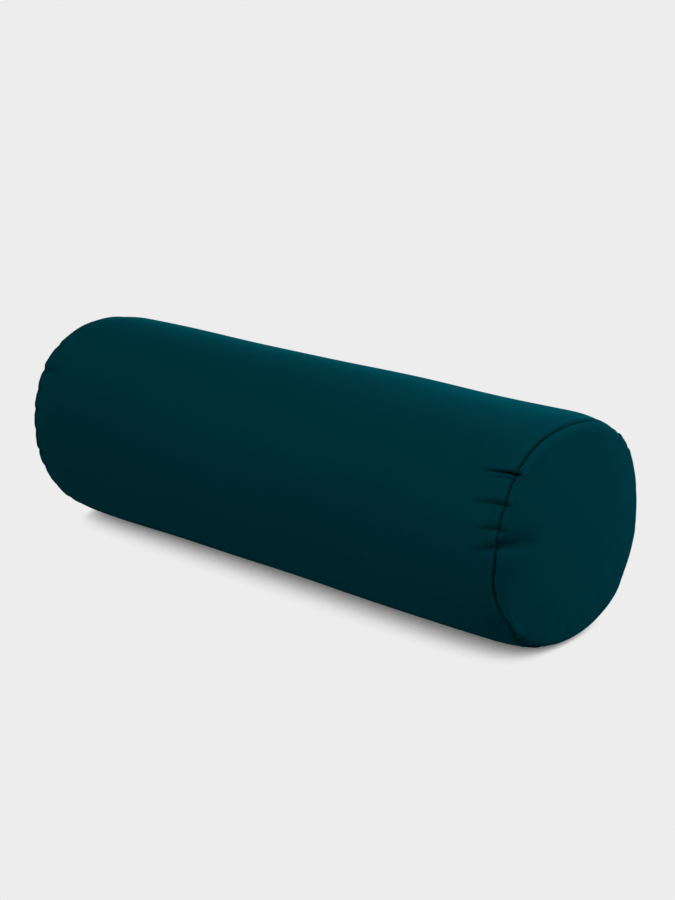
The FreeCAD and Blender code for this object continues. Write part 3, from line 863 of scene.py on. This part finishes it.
def zip_coil(word):
    """One row of teeth: a nylon wire coiled into flat loops that lie on the tape."""
    side, shift = (1, 0.5) if word == "upper" else (-1, 0.0)
    turns = int(2 * TEETH_HALF / TOOTH_PITCH) - 1
    t = np.linspace(0, turns, turns * 12 + 1)
    x = -TEETH_HALF + TOOTH_PITCH * (0.25 + shift + t)
    middle, swing = (COIL_TIP + COIL_BACK) / 2, (COIL_BACK - COIL_TIP) / 2 - WIRE
    across = side * (middle - swing * np.cos(FULL_TURN * t))
    rise = (TEETH_TOP - TEETH_BOTTOM) / 2 - WIRE
    height = (TEETH_TOP + TEETH_BOTTOM) / 2 + rise * np.sin(FULL_TURN * t)
    return tube("zip_coil_" + word, at_zip(x, across, height)[None], np.array([1.0, 0, 0]), WIRE)


def zip_ribbon(word):
    """One woven tape, with shallow ribs along it."""
    side = 1 if word == "upper" else -1
    x = np.linspace(-TAPE_HALF, TAPE_HALF, 131)[:, None]
    across = np.linspace(TAPE_EDGE, TAPE_WIDTH, 53)[None, :]
    middle = (TAPE_TOP + TAPE_BOTTOM) / 2 + RIB_HEIGHT * np.cos(FULL_TURN * across / TAPE_RIB)
    points = at_zip(x, side * across, middle).reshape(-1, 3)
    weave = stacked(across, x, 0.0).reshape(-1, 3)
    thickness = TAPE_TOP - TAPE_BOTTOM - 0.12 * MM
    return cloth_object("zip_ribbon_" + word, points, grid_quads(x.size, across.size), thickness, weave)


# ---- Inner pillow ----
LINER_WRINKLES, WADDING_TUFTS = 0.25 * MM, 0.5 * MM
FOAM_EDGE = 4 * MM  # radius of the foam's trimmed edges
POCKET_WIDTH = 14 * MM  # half the width of the hollow that the zip presses into the inner pillow
POCKET_CLEAR, POCKET_FADE = 30 * MM, 20 * MM  # how far from an end seam it ends, and how softly
DISC_EDGE = np.linspace(-13, 30, 24) * MM  # a wadding disc's rings are close together where its edge turns
DOME_START, DOME_CLEAR = 36 * MM, 3 * MM  # where its wider rings start, and how near they come to the middle
INNERMOST = 2 * MM  # radius of the smallest ring of a flat face
wrinkles = Waves(SEED + 4, 38 * MM)
tufts = Waves(SEED + 5, 22 * MM)


def inner_points(side, s, angle, depth, height, unevenness):
    """Points of the inner pillow, which follows the cover, is uneven, and gives way under the zip."""
    s, angle = np.broadcast_arrays(s, angle)
    under_zip = bell(RADIUS * wrapped(angle - ZIP_ANGLE) / POCKET_WIDTH)
    under_zip = under_zip * smooth((-s - POCKET_CLEAR) / POCKET_FADE)
    x, r = outline(s)[:2]
    own = np.abs(height * unevenness(stacked(side * x, r * np.sin(angle), r * np.cos(angle))))
    return surface(side, s, angle, depth, cover_relief(side, s, angle) - ZIP_POCKET * under_zip - own)


def sleeve_points(stations, depth, height, unevenness):
    """A grid of points round the inner pillow's body."""
    halves = []
    for side, part in ((-1, stations[stations < 0]), (1, stations[stations >= 0])):
        s = np.abs(part)[:, None] - SEAM_X
        halves.append(inner_points(side, s, ROUND[None, :], depth, height, unevenness))
    return np.concatenate(halves)


def liner_body():
    """The calico tube of the inner pillow."""
    stations = body_stations(SEAM_X - GAP, WIDEST_INNER_STATION)
    points = sleeve_points(stations, LINER_DEPTH + LINER_CLOTH / 2, LINER_WRINKLES, wrinkles).reshape(-1, 3)
    weave = stacked(RADIUS * ROUND[None, :], stations[:, None], 0.0).reshape(-1, 3)
    return cloth_object("liner_body", points, grid_quads(len(stations), COLUMNS, True), LINER_CLOTH, weave)


def liner_panel(side, word):
    """A round calico panel at one end of the inner pillow."""
    s = np.linspace(0.2 * MM, RINGS_REACH, 12)
    points, quads = panel_sheet(side, s, np.full(len(s), LINER_DEPTH + LINER_CLOTH / 2))[:2]
    return cloth_object("liner_panel_" + word, points, quads, LINER_CLOTH, points[:, [1, 2, 0]])


def revolved(name, rows, ring):
    """A closed solid from rows of points: its last row joins the first, or both are closed to a point."""
    count, columns = rows.shape[:2]
    points = rows.reshape(-1, 3)
    if ring:
        faces = grid_quads(count + 1, columns, True) % len(points)
        return make_object(name, points, faces, points[:, [1, 2, 0]])
    points = np.vstack([points, rows[0].mean(0), rows[-1].mean(0)])
    this, after = np.arange(columns), (np.arange(columns) + 1) % columns
    first = np.stack([after, this, np.full(columns, count * columns)], 1)
    last = (count - 1) * columns
    final = np.stack([last + this, last + after, np.full(columns, count * columns + 1)], 1)
    faces = [grid_quads(count, columns, True), np.vstack([first, final])]
    return make_object(name, points, faces, points[:, [1, 2, 0]])


def around(x, r, angle=ROUND):
    """Rings of points about the bolster's own axis."""
    return on_cylinder(np.asarray(x)[:, None], np.asarray(r)[:, None], angle[None, :])


def wadding_sleeve():
    """The polyester wadding wrapped round the foam, lumpy outside."""
    stations = body_stations(WADDING_HALF, WIDEST_INNER_STATION)
    outer = sleeve_points(stations, WADDING_DEPTH, WADDING_TUFTS, tufts)
    inner = around(stations[::-1], np.full(len(stations), CORE_RADIUS + GAP))
    return revolved("wadding_sleeve", np.concatenate([outer, inner]), True)


def wadding_disc(side, word):
    """The domed disc of wadding at one end of the foam."""
    face_x = WADDING_HALF + 2 * GAP
    dome_s = np.linspace(DOME_START, PANEL_REACH - DOME_CLEAR, 9)
    s = np.concatenate([[face_x - SEAM_X], DISC_EDGE, dome_s])
    dome = inner_points(side, s[:, None], ROUND[None, :], WADDING_DEPTH, WADDING_TUFTS, tufts)
    face_r = np.linspace(INNERMOST, CORE_RADIUS, 9)
    flat = around(np.full(len(face_r), side * face_x), face_r)
    return revolved("wadding_disc_" + word, np.concatenate([flat, dome]), False)


def foam_block():
    """The foam core: a plain cut cylinder with its edges trimmed round."""
    turn = np.linspace(0, math.pi / 2, 7)
    flat_x, flat_r = CORE_HALF - FOAM_EDGE, CORE_RADIUS - FOAM_EDGE
    end_x, end_r = flat_x + FOAM_EDGE * np.sin(turn), flat_r + FOAM_EDGE * np.cos(turn)
    side_x = np.linspace(0, flat_x, 30)[1:-1]
    face_r = np.linspace(flat_r, INNERMOST, 8)[1:]
    half_x = np.concatenate([side_x, end_x, np.full(len(face_r), CORE_HALF)])
    half_r = np.concatenate([np.full(len(side_x), CORE_RADIUS), end_r, face_r])
    x = np.concatenate([-half_x[::-1], [0], half_x])
    return revolved("foam_block", around(x, np.concatenate([half_r[::-1], [CORE_RADIUS], half_r])), False)


# ---- Cloth simulation ----
CLOTH_COLUMNS = 168
CLOTH_FRAMES = 20
CLOTH_CAP = 2.2 * MM
FOLD_HINT = 0.35  # the share of the folds that the cloth starts with
SLACK = 1.018  # the body's cloth is this much wider than its seams allow
PANEL_SHARE = 0.22  # the end panels are cut to size and stay tight, so they keep little of the puckers


def cloth_rows():
    """The side and the distance past its seam of each row of the simulated cloth, from left to right.

    The rows lie close together near the seams and further apart elsewhere.
    """
    inward = np.concatenate([np.arange(0, 60, 4.2), np.arange(64, SEAM_X / MM, 12)]) * -MM
    outward = np.concatenate([np.arange(4.2, 50, 4.6), np.arange(56, PANEL_REACH / MM - 8, 8)]) * MM
    half = np.concatenate([inward[::-1], outward])
    return np.repeat([-1, 1], len(half)), np.concatenate([half[::-1], half])


def relaxed(piece, rest_points, pinned):
    """Where a piece's points end up when it is inflated as cloth that has its own shape at rest."""
    piece.shape_key_add(name="start")
    key = piece.shape_key_add(name="slack")
    key.data.foreach_set("co", rest_points.astype(np.float32).ravel())
    piece.vertex_groups.new(name="held").add(pinned, 1.0, "REPLACE")
    cloth = piece.modifiers.new("cloth", "CLOTH")
    settings = cloth.settings
    settings.quality = 6
    settings.mass = 0.3
    settings.tension_stiffness = settings.compression_stiffness = 12
    settings.shear_stiffness = 4
    settings.bending_stiffness = 0.25
    settings.use_pressure = True
    settings.uniform_pressure_force = 4
    settings.vertex_group_mass = "held"
    settings.rest_shape_key = key
    settings.effector_weights.gravity = 0
    cloth.collision_settings.use_collision = False
    cloth.point_cache.frame_start, cloth.point_cache.frame_end = 1, CLOTH_FRAMES
    for number in range(1, CLOTH_FRAMES + 1):
        bpy.context.scene.frame_set(number)
    result = piece.evaluated_get(bpy.context.evaluated_depsgraph_get()).data
    moved = np.empty(rest_points.size, np.float32)
    result.vertices.foreach_get("co", moved)
    bpy.context.scene.frame_set(1)
    return moved.reshape(-1, 3)


def simulate_cover():
    """Inflates a coarse copy of the cover, too wide for its seams, and keeps the puckers that form."""
    side, s = (values[:, None] for values in cloth_rows())
    angle = np.arange(CLOTH_COLUMNS) * FULL_TURN / CLOTH_COLUMNS
    halves = []
    for k in (-1, 1):
        rows = s[side == k][:, None]
        halves.append(surface(k, rows, angle, 0, FOLD_HINT * fold_relief(k, rows, angle), 0))
    start = np.concatenate(halves)
    piece = revolved("cloth", start, False)
    mesh = piece.data
    x, r, tilt = outline(s)
    slack = on_cylinder(side * x, np.where(s < 0, RADIUS * SLACK, r), angle).reshape(-1, 3)
    on_floor = start[..., 2] < CONTACT
    pinned = np.flatnonzero(((np.abs(s) < TINY) | on_floor).ravel()).tolist()
    poles = [start[0].mean(0), start[-1].mean(0)]
    moved = relaxed(piece, np.vstack([slack, poles]), pinned)[: len(slack)].reshape(start.shape) - start
    bpy.data.objects.remove(piece)
    bpy.data.meshes.remove(mesh)

    normals = stacked(side * np.sin(tilt), -np.sin(angle) * np.cos(tilt), np.cos(angle) * np.cos(tilt))
    heights = (moved * normals).sum(-1)
    heights -= heights.mean(1, keepdims=True)
    share = np.where(s > 0, PANEL_SHARE * smooth((PANEL_REACH - s) / (60 * MM)), 1)
    heights = np.clip(heights * (~on_floor * share), -CLOTH_CAP, CLOTH_CAP)
    simulated.append(HeightMap((side * (SEAM_X + s))[:, 0], heights))


# ---- Materials ----
class Value:
    """What a node puts out.  When that is a number, arithmetic with it adds nodes to the tree."""

    def __init__(self, nodes, node, output=0):
        self.nodes, self.socket = nodes, node.outputs[output]

    def __add__(self, other):
        return self.nodes.maths("ADD", self, other)

    def __sub__(self, other):
        return self.nodes.maths("SUBTRACT", self, other)

    def __rsub__(self, other):
        return self.nodes.maths("SUBTRACT", other, self)

    def __mul__(self, other):
        return self.nodes.maths("MULTIPLY", self, other)


class Nodes:
    """A short way to build the node tree of a material or of the world."""

    def __init__(self, name, owners=None):
        self.owner = (bpy.data.materials if owners is None else owners).new(name)
        self.owner.use_nodes = True
        self.tree = self.owner.node_tree
        self.shader = self.tree.nodes.get("Principled BSDF")

    def add(self, kind, settings=None, **inputs):
        node = self.tree.nodes.new("ShaderNode" + kind)
        for key, value in (settings or {}).items():
            setattr(node, key, value)
        for key, value in inputs.items():
            self.plug(node, key.replace("_", " "), value)
        return node

    def plug(self, node, socket, value):
        target = node.inputs[int(socket)] if socket.isdigit() else node.inputs[socket]
        if isinstance(value, Value):
            self.tree.links.new(value.socket, target)
        else:
            target.default_value = value

    def maths(self, operation, a, b=0.0, c=0.0):
        node = self.add("Math", {"operation": operation})
        for number, value in enumerate((a, b, c)):
            self.plug(node, str(number), value)
        return Value(self, node)

    def scaled(self, vector, scale):
        node = self.add("VectorMath", {"operation": "MULTIPLY"})
        self.plug(node, "0", vector)
        self.plug(node, "1", scale)
        return Value(self, node)

    def surface(self, **inputs):
        for key, value in inputs.items():
            self.plug(self.shader, key.replace("_", " "), value)

    def attribute(self, name, output="Vector"):
        return Value(self, self.add("Attribute", {"attribute_name": name}), output)

    def object_place(self):
        return Value(self, self.add("TexCoord"), "Object")

    def xyz(self, vector):
        """The three numbers of a vector."""
        node = self.add("SeparateXYZ", None, Vector=vector)
        return [Value(self, node, axis) for axis in range(3)]

    def noise(self, vector, scale, detail=2.0):
        return Value(self, self.add("TexNoise", None, Vector=vector, Scale=scale, Detail=detail), "Fac")

    def ramp(self, value, low, high, to_low=0.0, to_high=1.0, kind="SMOOTHSTEP"):
        node = self.add("MapRange", {"interpolation_type": kind}, Value=value)
        self.plug(node, "From Min", low)
        self.plug(node, "From Max", high)
        self.plug(node, "To Min", to_low)
        self.plug(node, "To Max", to_high)
        return Value(self, node)

    def tint(self, factor, low, high):
        """A colour that runs from low to high as the factor goes from 0 to 1."""
        mix = self.add("Mix", {"data_type": "RGBA"})
        self.plug(mix, "0", factor)
        for socket, colour in (("6", low), ("7", high)):  # the colour inputs of a Mix node
            self.plug(mix, socket, colour if isinstance(colour, Value) else (*colour, 1))
        return Value(self, mix, 2)

    def for_eyes(self):
        """1 for rays that a camera or a shiny surface sees by, and 0 for light that spreads."""
        rays = self.add("LightPath")
        return self.maths("MAXIMUM", Value(self, rays, "Is Camera Ray"), Value(self, rays, "Is Glossy Ray"))

    def bump(self, height, strength, distance, normal=None):
        node = self.add("Bump", None, Height=height, Strength=strength, Distance=distance)
        if normal is not None:
            self.plug(node, "Normal", normal)
        return Value(self, node)


def shade(colour, factor):
    return tuple(min(channel * factor, 1.0) for channel in colour)


TEAL, SHEEN_TINT = (0.0006, 0.040, 0.052), (0.0, 0.36, 0.47)
CALICO, CALICO_FLECK = (0.64, 0.56, 0.42), (0.16, 0.10, 0.05)
CREAM = (0.70, 0.63, 0.50)
NYLON_DARK, NYLON_LIGHT = (0.002, 0.030, 0.040), (0.004, 0.058, 0.072)
NICKEL, NICKEL_SPOT, NICKEL_EDGE = (0.50, 0.485, 0.455), (0.30, 0.28, 0.25), (0.72, 0.69, 0.62)
WADDING_DARK, WADDING_LIGHT = (0.72, 0.72, 0.70), (0.90, 0.90, 0.88)
FOAM_NEW, FOAM_AGED, FOAM_PORE = (0.80, 0.70, 0.42), (0.70, 0.56, 0.28), (0.496, 0.416, 0.24)
YARN_WIDTH, YARN_LENGTH = 2.2, 60  # how far a yarn's unevenness reaches across it and along it, in threads
HERRINGBONE_THREADS = 4  # from one turn of a herringbone to the next
PLY_PITCH = 0.7 * MM
RUBBED = 0.45  # how much lighter the cloth is where it is rubbed
DEEPEST_PAINTED_SHADE = 0.02  # the share of its colour that the cloth keeps under the deepest painted crease shade


def woven(name, colour, thread, contrast, sheen=0.0, slub=0.10, flecks=0.0, herringbone=False):
    """Woven cloth: crossing threads, uneven yarns, slow colour drift, worn edges, painted shade in creases
    and a faint bloom.
    """
    n = Nodes(name)
    place, wear_and_painted_shade = n.attribute("weave"), n.attribute("wear_and_painted_shade", "Fac")
    # The wear attribute: rubbed edges above 0 are real wear, and creases below 0 carry painted shade.
    rubbed, painted_shade = n.maths("MAXIMUM", wear_and_painted_shade, 0.0), n.maths("MINIMUM", wear_and_painted_shade, 0.0)
    u, v = [part * (math.pi / thread) for part in n.xyz(place)[:2]]
    if herringbone:
        v = v + n.maths("PINGPONG", u, HERRINGBONE_THREADS * math.pi)
    crossing = n.maths("SINE", u) * n.maths("SINE", v)
    fine, long = 1 / (YARN_WIDTH * thread), 1 / (YARN_LENGTH * thread)
    yarns = n.noise(n.scaled(place, (fine, long, 1)), 1.0) + n.noise(n.scaled(place, (long, fine, 1)), 1.0)
    drift = n.noise(place, 9.0, 3.0)
    tone = (yarns - 1) * (slub * 4) + 0.5 + (drift - 0.5) * 0.5 + crossing * 0.3 + rubbed * RUBBED
    base = n.tint(tone, shade(colour, 1 - contrast), shade(colour, 1 + contrast))
    # Painted shade: darkens the colour in creases and along the seams.
    base = n.tint(painted_shade * -1, base, shade(colour, DEEPEST_PAINTED_SHADE))
    if flecks:
        speck = n.ramp(n.noise(n.scaled(place, (1400, 500, 1)), 1.0, 3.0), 0.68, 0.74)
        base = n.tint(speck * flecks, base, CALICO_FLECK)
    n.surface(Base_Color=base, Normal=n.bump(crossing * 0.5 + yarns, 0.55, 0.28 * thread))
    n.surface(Roughness=drift * 0.12 + 0.82, Specular_IOR_Level=0.0)
    if sheen:
        n.surface(Sheen_Weight=(painted_shade + 1) * sheen, Sheen_Roughness=0.45, Sheen_Tint=(*SHEEN_TINT, 1))
    return n.owner


def sewing_thread(name, colour):
    """Twisted thread: a fine diagonal ply that catches a little light."""
    n = Nodes(name)
    along, round_it = n.xyz(n.attribute("weave"))[:2]
    ply = n.maths("SINE", along * (FULL_TURN / PLY_PITCH) + round_it * (2 / THREAD_RADIUS))
    tone = ply * 0.3 + n.noise(n.object_place(), 600.0)
    n.surface(Base_Color=n.tint(tone, shade(colour, 0.75), shade(colour, 1.5)))
    n.surface(Roughness=0.55, Specular_IOR_Level=0.25, Normal=n.bump(ply, 0.5, 0.06 * MM))
    return n.owner


def dyed_nylon():
    """The coil's smooth wire, with slight marks along it from being wound."""
    n = Nodes("dyed_nylon")
    marks = n.noise(n.scaled(n.attribute("weave"), (300, 4000, 1)), 1.0, 3.0)
    n.surface(Base_Color=n.tint(marks, NYLON_DARK, NYLON_LIGHT))
    n.surface(Roughness=n.ramp(marks, 0.3, 0.7, 0.28, 0.45), Specular_IOR_Level=0.45)
    n.surface(Normal=n.bump(marks, 0.2, 0.03 * MM))
    return n.owner


def worn_nickel():
    """Nickel-plated cast zinc: fine tumbling marks, a few darker spots, and brighter rubbed edges."""
    n = Nodes("worn_nickel")
    place = n.object_place()
    marks = n.noise(n.scaled(place, (900, 260, 260)), 1.0, 4.0)
    spots = n.ramp(n.noise(place, 420.0, 3.0), 0.60, 0.75)
    rounded = Value(n, n.add("Bevel", {"samples": 6}, Radius=0.35 * MM))
    facing = n.add("VectorMath", {"operation": "DOT_PRODUCT"})
    n.plug(facing, "0", rounded)
    n.plug(facing, "1", Value(n, n.add("NewGeometry"), "Normal"))
    edge = n.ramp(1 - Value(n, facing, "Value"), 0.01, 0.20)
    n.surface(Base_Color=n.tint(edge, n.tint(spots, NICKEL, NICKEL_SPOT), NICKEL_EDGE), Metallic=1.0)
    n.surface(Roughness=n.ramp(marks, 0.3, 0.7, 0.24, 0.42) + spots * 0.15 - edge * 0.08)
    n.surface(Normal=n.bump(marks, 0.15, 0.05 * MM, rounded))
    return n.owner


def polyester_wadding():
    """White lofted fibres: a soft tangle of fine strands."""
    n = Nodes("polyester_wadding")
    place = n.attribute("weave")
    strands = n.noise(n.scaled(place, (260, 900, 900)), 1.0, 6.0)
    loft = n.noise(place, 60.0, 4.0)
    n.surface(Base_Color=n.tint(strands, WADDING_DARK, WADDING_LIGHT), Roughness=0.95)
    n.surface(Specular_IOR_Level=0.1, Normal=n.bump(strands + loft * 2, 0.6, 0.8 * MM))
    n.surface(Sheen_Weight=0.3, Sheen_Roughness=0.5)
    return n.owner


def open_foam():
    """Pale yellow foam: a close grain of open pores, a little darker where it has aged."""
    n = Nodes("open_foam")
    place = n.attribute("weave")
    pores = Value(n, n.add("TexVoronoi", None, Vector=place, Scale=900.0), "Distance")
    skin = n.tint(n.noise(place, 14.0, 3.0), FOAM_NEW, FOAM_AGED)
    n.surface(Base_Color=n.tint(n.ramp(pores, 0.1, 0.5), FOAM_PORE, skin), Roughness=0.9)
    n.surface(Specular_IOR_Level=0.15, Normal=n.bump(pores, 0.7, 0.5 * MM))
    return n.owner


def paint(piece, material):
    piece.data.materials.clear()
    piece.data.materials.append(material)


# ---- Build ----
def install(piece, node, material):
    """Puts a piece in the place of a soft or sewn CAD node of the bolster."""
    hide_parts(node)
    paint(piece, material)
    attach(piece, "bolster")


def finish_metal(node, material):
    """A CAD node that stays: rounds its edges a little and gives it its metal."""
    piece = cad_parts[node]
    weld = piece.modifiers.new("weld", "WELD")
    weld.merge_threshold = 0.001 * MM
    bevel = piece.modifiers.new("rounded_edges", "BEVEL")
    bevel.width, bevel.segments, bevel.limit_method = 0.16 * MM, 2, "ANGLE"
    bevel.angle_limit = math.radians(35)
    bevel.harden_normals = True
    paint(piece, material)


simulate_cover()

cotton = woven("teal_cotton", TEAL, 0.42 * MM, 0.16, sheen=0.35)
tape_weave = woven("tape_weave", shade(TEAL, 0.85), 0.5 * MM, 0.22, herringbone=True)
calico = woven("calico", CALICO, 0.5 * MM, 0.08, slub=0.18, flecks=0.5)
teal_thread = sewing_thread("teal_thread", shade(TEAL, 1.15))
cream_thread = sewing_thread("cream_thread", CREAM)
nylon, nickel, wadding, foam = dyed_nylon(), worn_nickel(), polyester_wadding(), open_foam()

install(body_panel(), "cover_wrap", cotton)
install(liner_body(), "liner_wrap", calico)
install(wadding_sleeve(), "wadding_wrap", wadding)
install(foam_block(), "foam_core", foam)
install(bartacks(), "zip_bartacks", teal_thread)
install(back_seam_stitches(), "back_seam_thread", teal_thread)
for side, word in ((1, "right"), (-1, "left")):
    install(end_panel(side, word), "cover_end_" + word, cotton)
    cover_ring = seam_stitches("cover_stitches_" + word, side, 2 * SEAM_FOLD + 2 * CLOTH, 0.12 * MM)
    install(cover_ring, "cover_seam_thread_" + word, teal_thread)
    install(liner_panel(side, word), "liner_end_" + word, calico)
    liner_ring = seam_stitches("liner_stitches_" + word, side, WADDING_DEPTH - 0.3 * MM, 0.14 * MM)
    install(liner_ring, "liner_seam_thread_" + word, cream_thread)
    install(wadding_disc(side, word), "wadding_end_" + word, wadding)
for word in ("upper", "lower"):
    install(zip_coil(word), "zip_teeth_" + word, nylon)
    install(zip_ribbon(word), "zip_tape_" + word, tape_weave)
    install(topstitching(word), "zip_topstitch_" + word, teal_thread)
for node in ("zip_slider", "zip_pull_tab", "zip_top_stops", "zip_bottom_stop"):
    finish_metal(node, nickel)


# ---- Floor, light and camera ----
BACKGROUND = (0.847, 0.847, 0.847)
FLOOR_REACH = 30
PAPER_GRAIN = 0.003
# The floor glows, and its shadow is painted: its brightness is SHADOW_DEPTH times the share of the sky that
# is open, less SHADOW_START.
# It levels off softly, by SHADOW_BLEND, at full brightness.
SHADOW_DEPTH, SHADOW_START, SHADOW_BLEND = 3.15, 0.03, 0.2
FLOOR_BOUNCE = 0.16  # how much of the floor's glow, painted shadow and all, lights the bolster
AMBIENT_LOW, AMBIENT_TOP = 0.0, 0.15
VIEW_AZIMUTH, VIEW_ELEVATION, VIEW_ROLL = 43.468, 18.255, -2.053  # degrees
VIEW_DISTANCE = 1.9279
VIEW_TARGET = Vector((-0.01544, 0.05262, AXIS_Z))
LENS = 74.87


def backdrop():
    """A wide pale floor that glows, with a painted shadow where the bolster hides the sky from it."""
    n = Nodes("floor_paper")
    sky = Value(n, n.add("AmbientOcclusion", {"samples": 16}, Distance=1.0), "AO")
    # Painted shadow: the glow dims where the bolster hides the sky.
    light = n.maths("SMOOTH_MIN", sky * SHADOW_DEPTH - SHADOW_START, 1.0, SHADOW_BLEND)
    strength = light * n.ramp(n.for_eyes(), 0, 1, FLOOR_BOUNCE, 1.0)
    dark, pale = shade(BACKGROUND, 1 - PAPER_GRAIN), shade(BACKGROUND, 1 + PAPER_GRAIN)
    n.surface(Base_Color=(0, 0, 0, 1), Roughness=1.0, Specular_IOR_Level=0.0)
    n.surface(Emission_Color=n.tint(n.noise(n.object_place(), 3.0), dark, pale), Emission_Strength=strength)
    floor = bpy.data.meshes.new("floor")
    edge = FLOOR_REACH
    outer = [(-edge, -edge, 0), (edge, -edge, 0), (edge, edge, 0), (-edge, edge, 0)]
    floor.from_pydata(outer, [], [(0, 1, 2, 3)])
    floor.materials.append(n.owner)
    piece = bpy.data.objects.new("floor", floor)
    bpy.context.scene.collection.objects.link(piece)


def world_light():
    """Light from overhead.  The camera, and shiny pieces, see a background as bright as the floor."""
    n = Nodes("studio", bpy.data.worlds)
    bpy.context.scene.world = n.owner
    height = n.xyz(Value(n, n.add("NewGeometry"), "Incoming"))[2]
    overhead = n.ramp(height, 0.1, -1.0, AMBIENT_LOW, AMBIENT_TOP, "LINEAR")
    lit = Value(n, n.add("Background", None, Color=(1, 1, 1, 1), Strength=overhead))
    seen = Value(n, n.add("Background", None, Color=(*BACKGROUND, 1)))
    mix = n.add("MixShader")
    for number, source in enumerate((n.for_eyes(), lit, seen)):
        n.plug(mix, str(number), source)
    n.plug(n.tree.nodes["World Output"], "Surface", Value(n, mix))


def direction(azimuth, elevation):
    """Azimuth 0 stands in front of the bolster (-Y) and 90 at its right end (+X)."""
    a, e = math.radians(azimuth), math.radians(elevation)
    return Vector((math.sin(a) * math.cos(e), -math.cos(a) * math.cos(e), math.sin(e)))


def softbox(name, azimuth, elevation, distance, size, power, colour=(1, 1, 1)):
    """A square studio light that faces the bolster: its place, size in metres and power in watts."""
    light = bpy.data.lights.new(name, "AREA")
    light.energy, light.size, light.color = power, size, colour
    lamp = bpy.data.objects.new(name, light)
    toward = direction(azimuth, elevation)
    lamp.location = toward * distance
    lamp.rotation_euler = toward.to_track_quat("Z", "Y").to_euler()
    bpy.context.scene.collection.objects.link(lamp)


def camera():
    back = direction(VIEW_AZIMUTH, VIEW_ELEVATION)
    data = bpy.data.cameras.new("camera")
    data.lens = LENS
    data.sensor_width = 36
    data.clip_end = 100
    view = bpy.data.objects.new("camera", data)
    turn = (-back).to_track_quat("-Z", "Y").to_matrix() @ Matrix.Rotation(math.radians(VIEW_ROLL), 3, "Z")
    view.matrix_world = Matrix.Translation(VIEW_TARGET + back * VIEW_DISTANCE) @ turn.to_4x4()
    bpy.context.scene.collection.objects.link(view)
    bpy.context.scene.camera = view


backdrop()
world_light()
softbox("front_left", 12, 45, 2.4, 1.6, 11)
softbox("front", 43, 40, 2.4, 1.6, 14.5)
softbox("front_right", 75, 50, 2.4, 1.6, 12)
softbox("side", 128, 30, 0.72, 0.4, 1.15, (0.50, 0.85, 1.0))
softbox("behind", 212, 4, 2.4, 0.3, 16)
camera()
bpy.context.scene.view_settings.view_transform = "Standard"
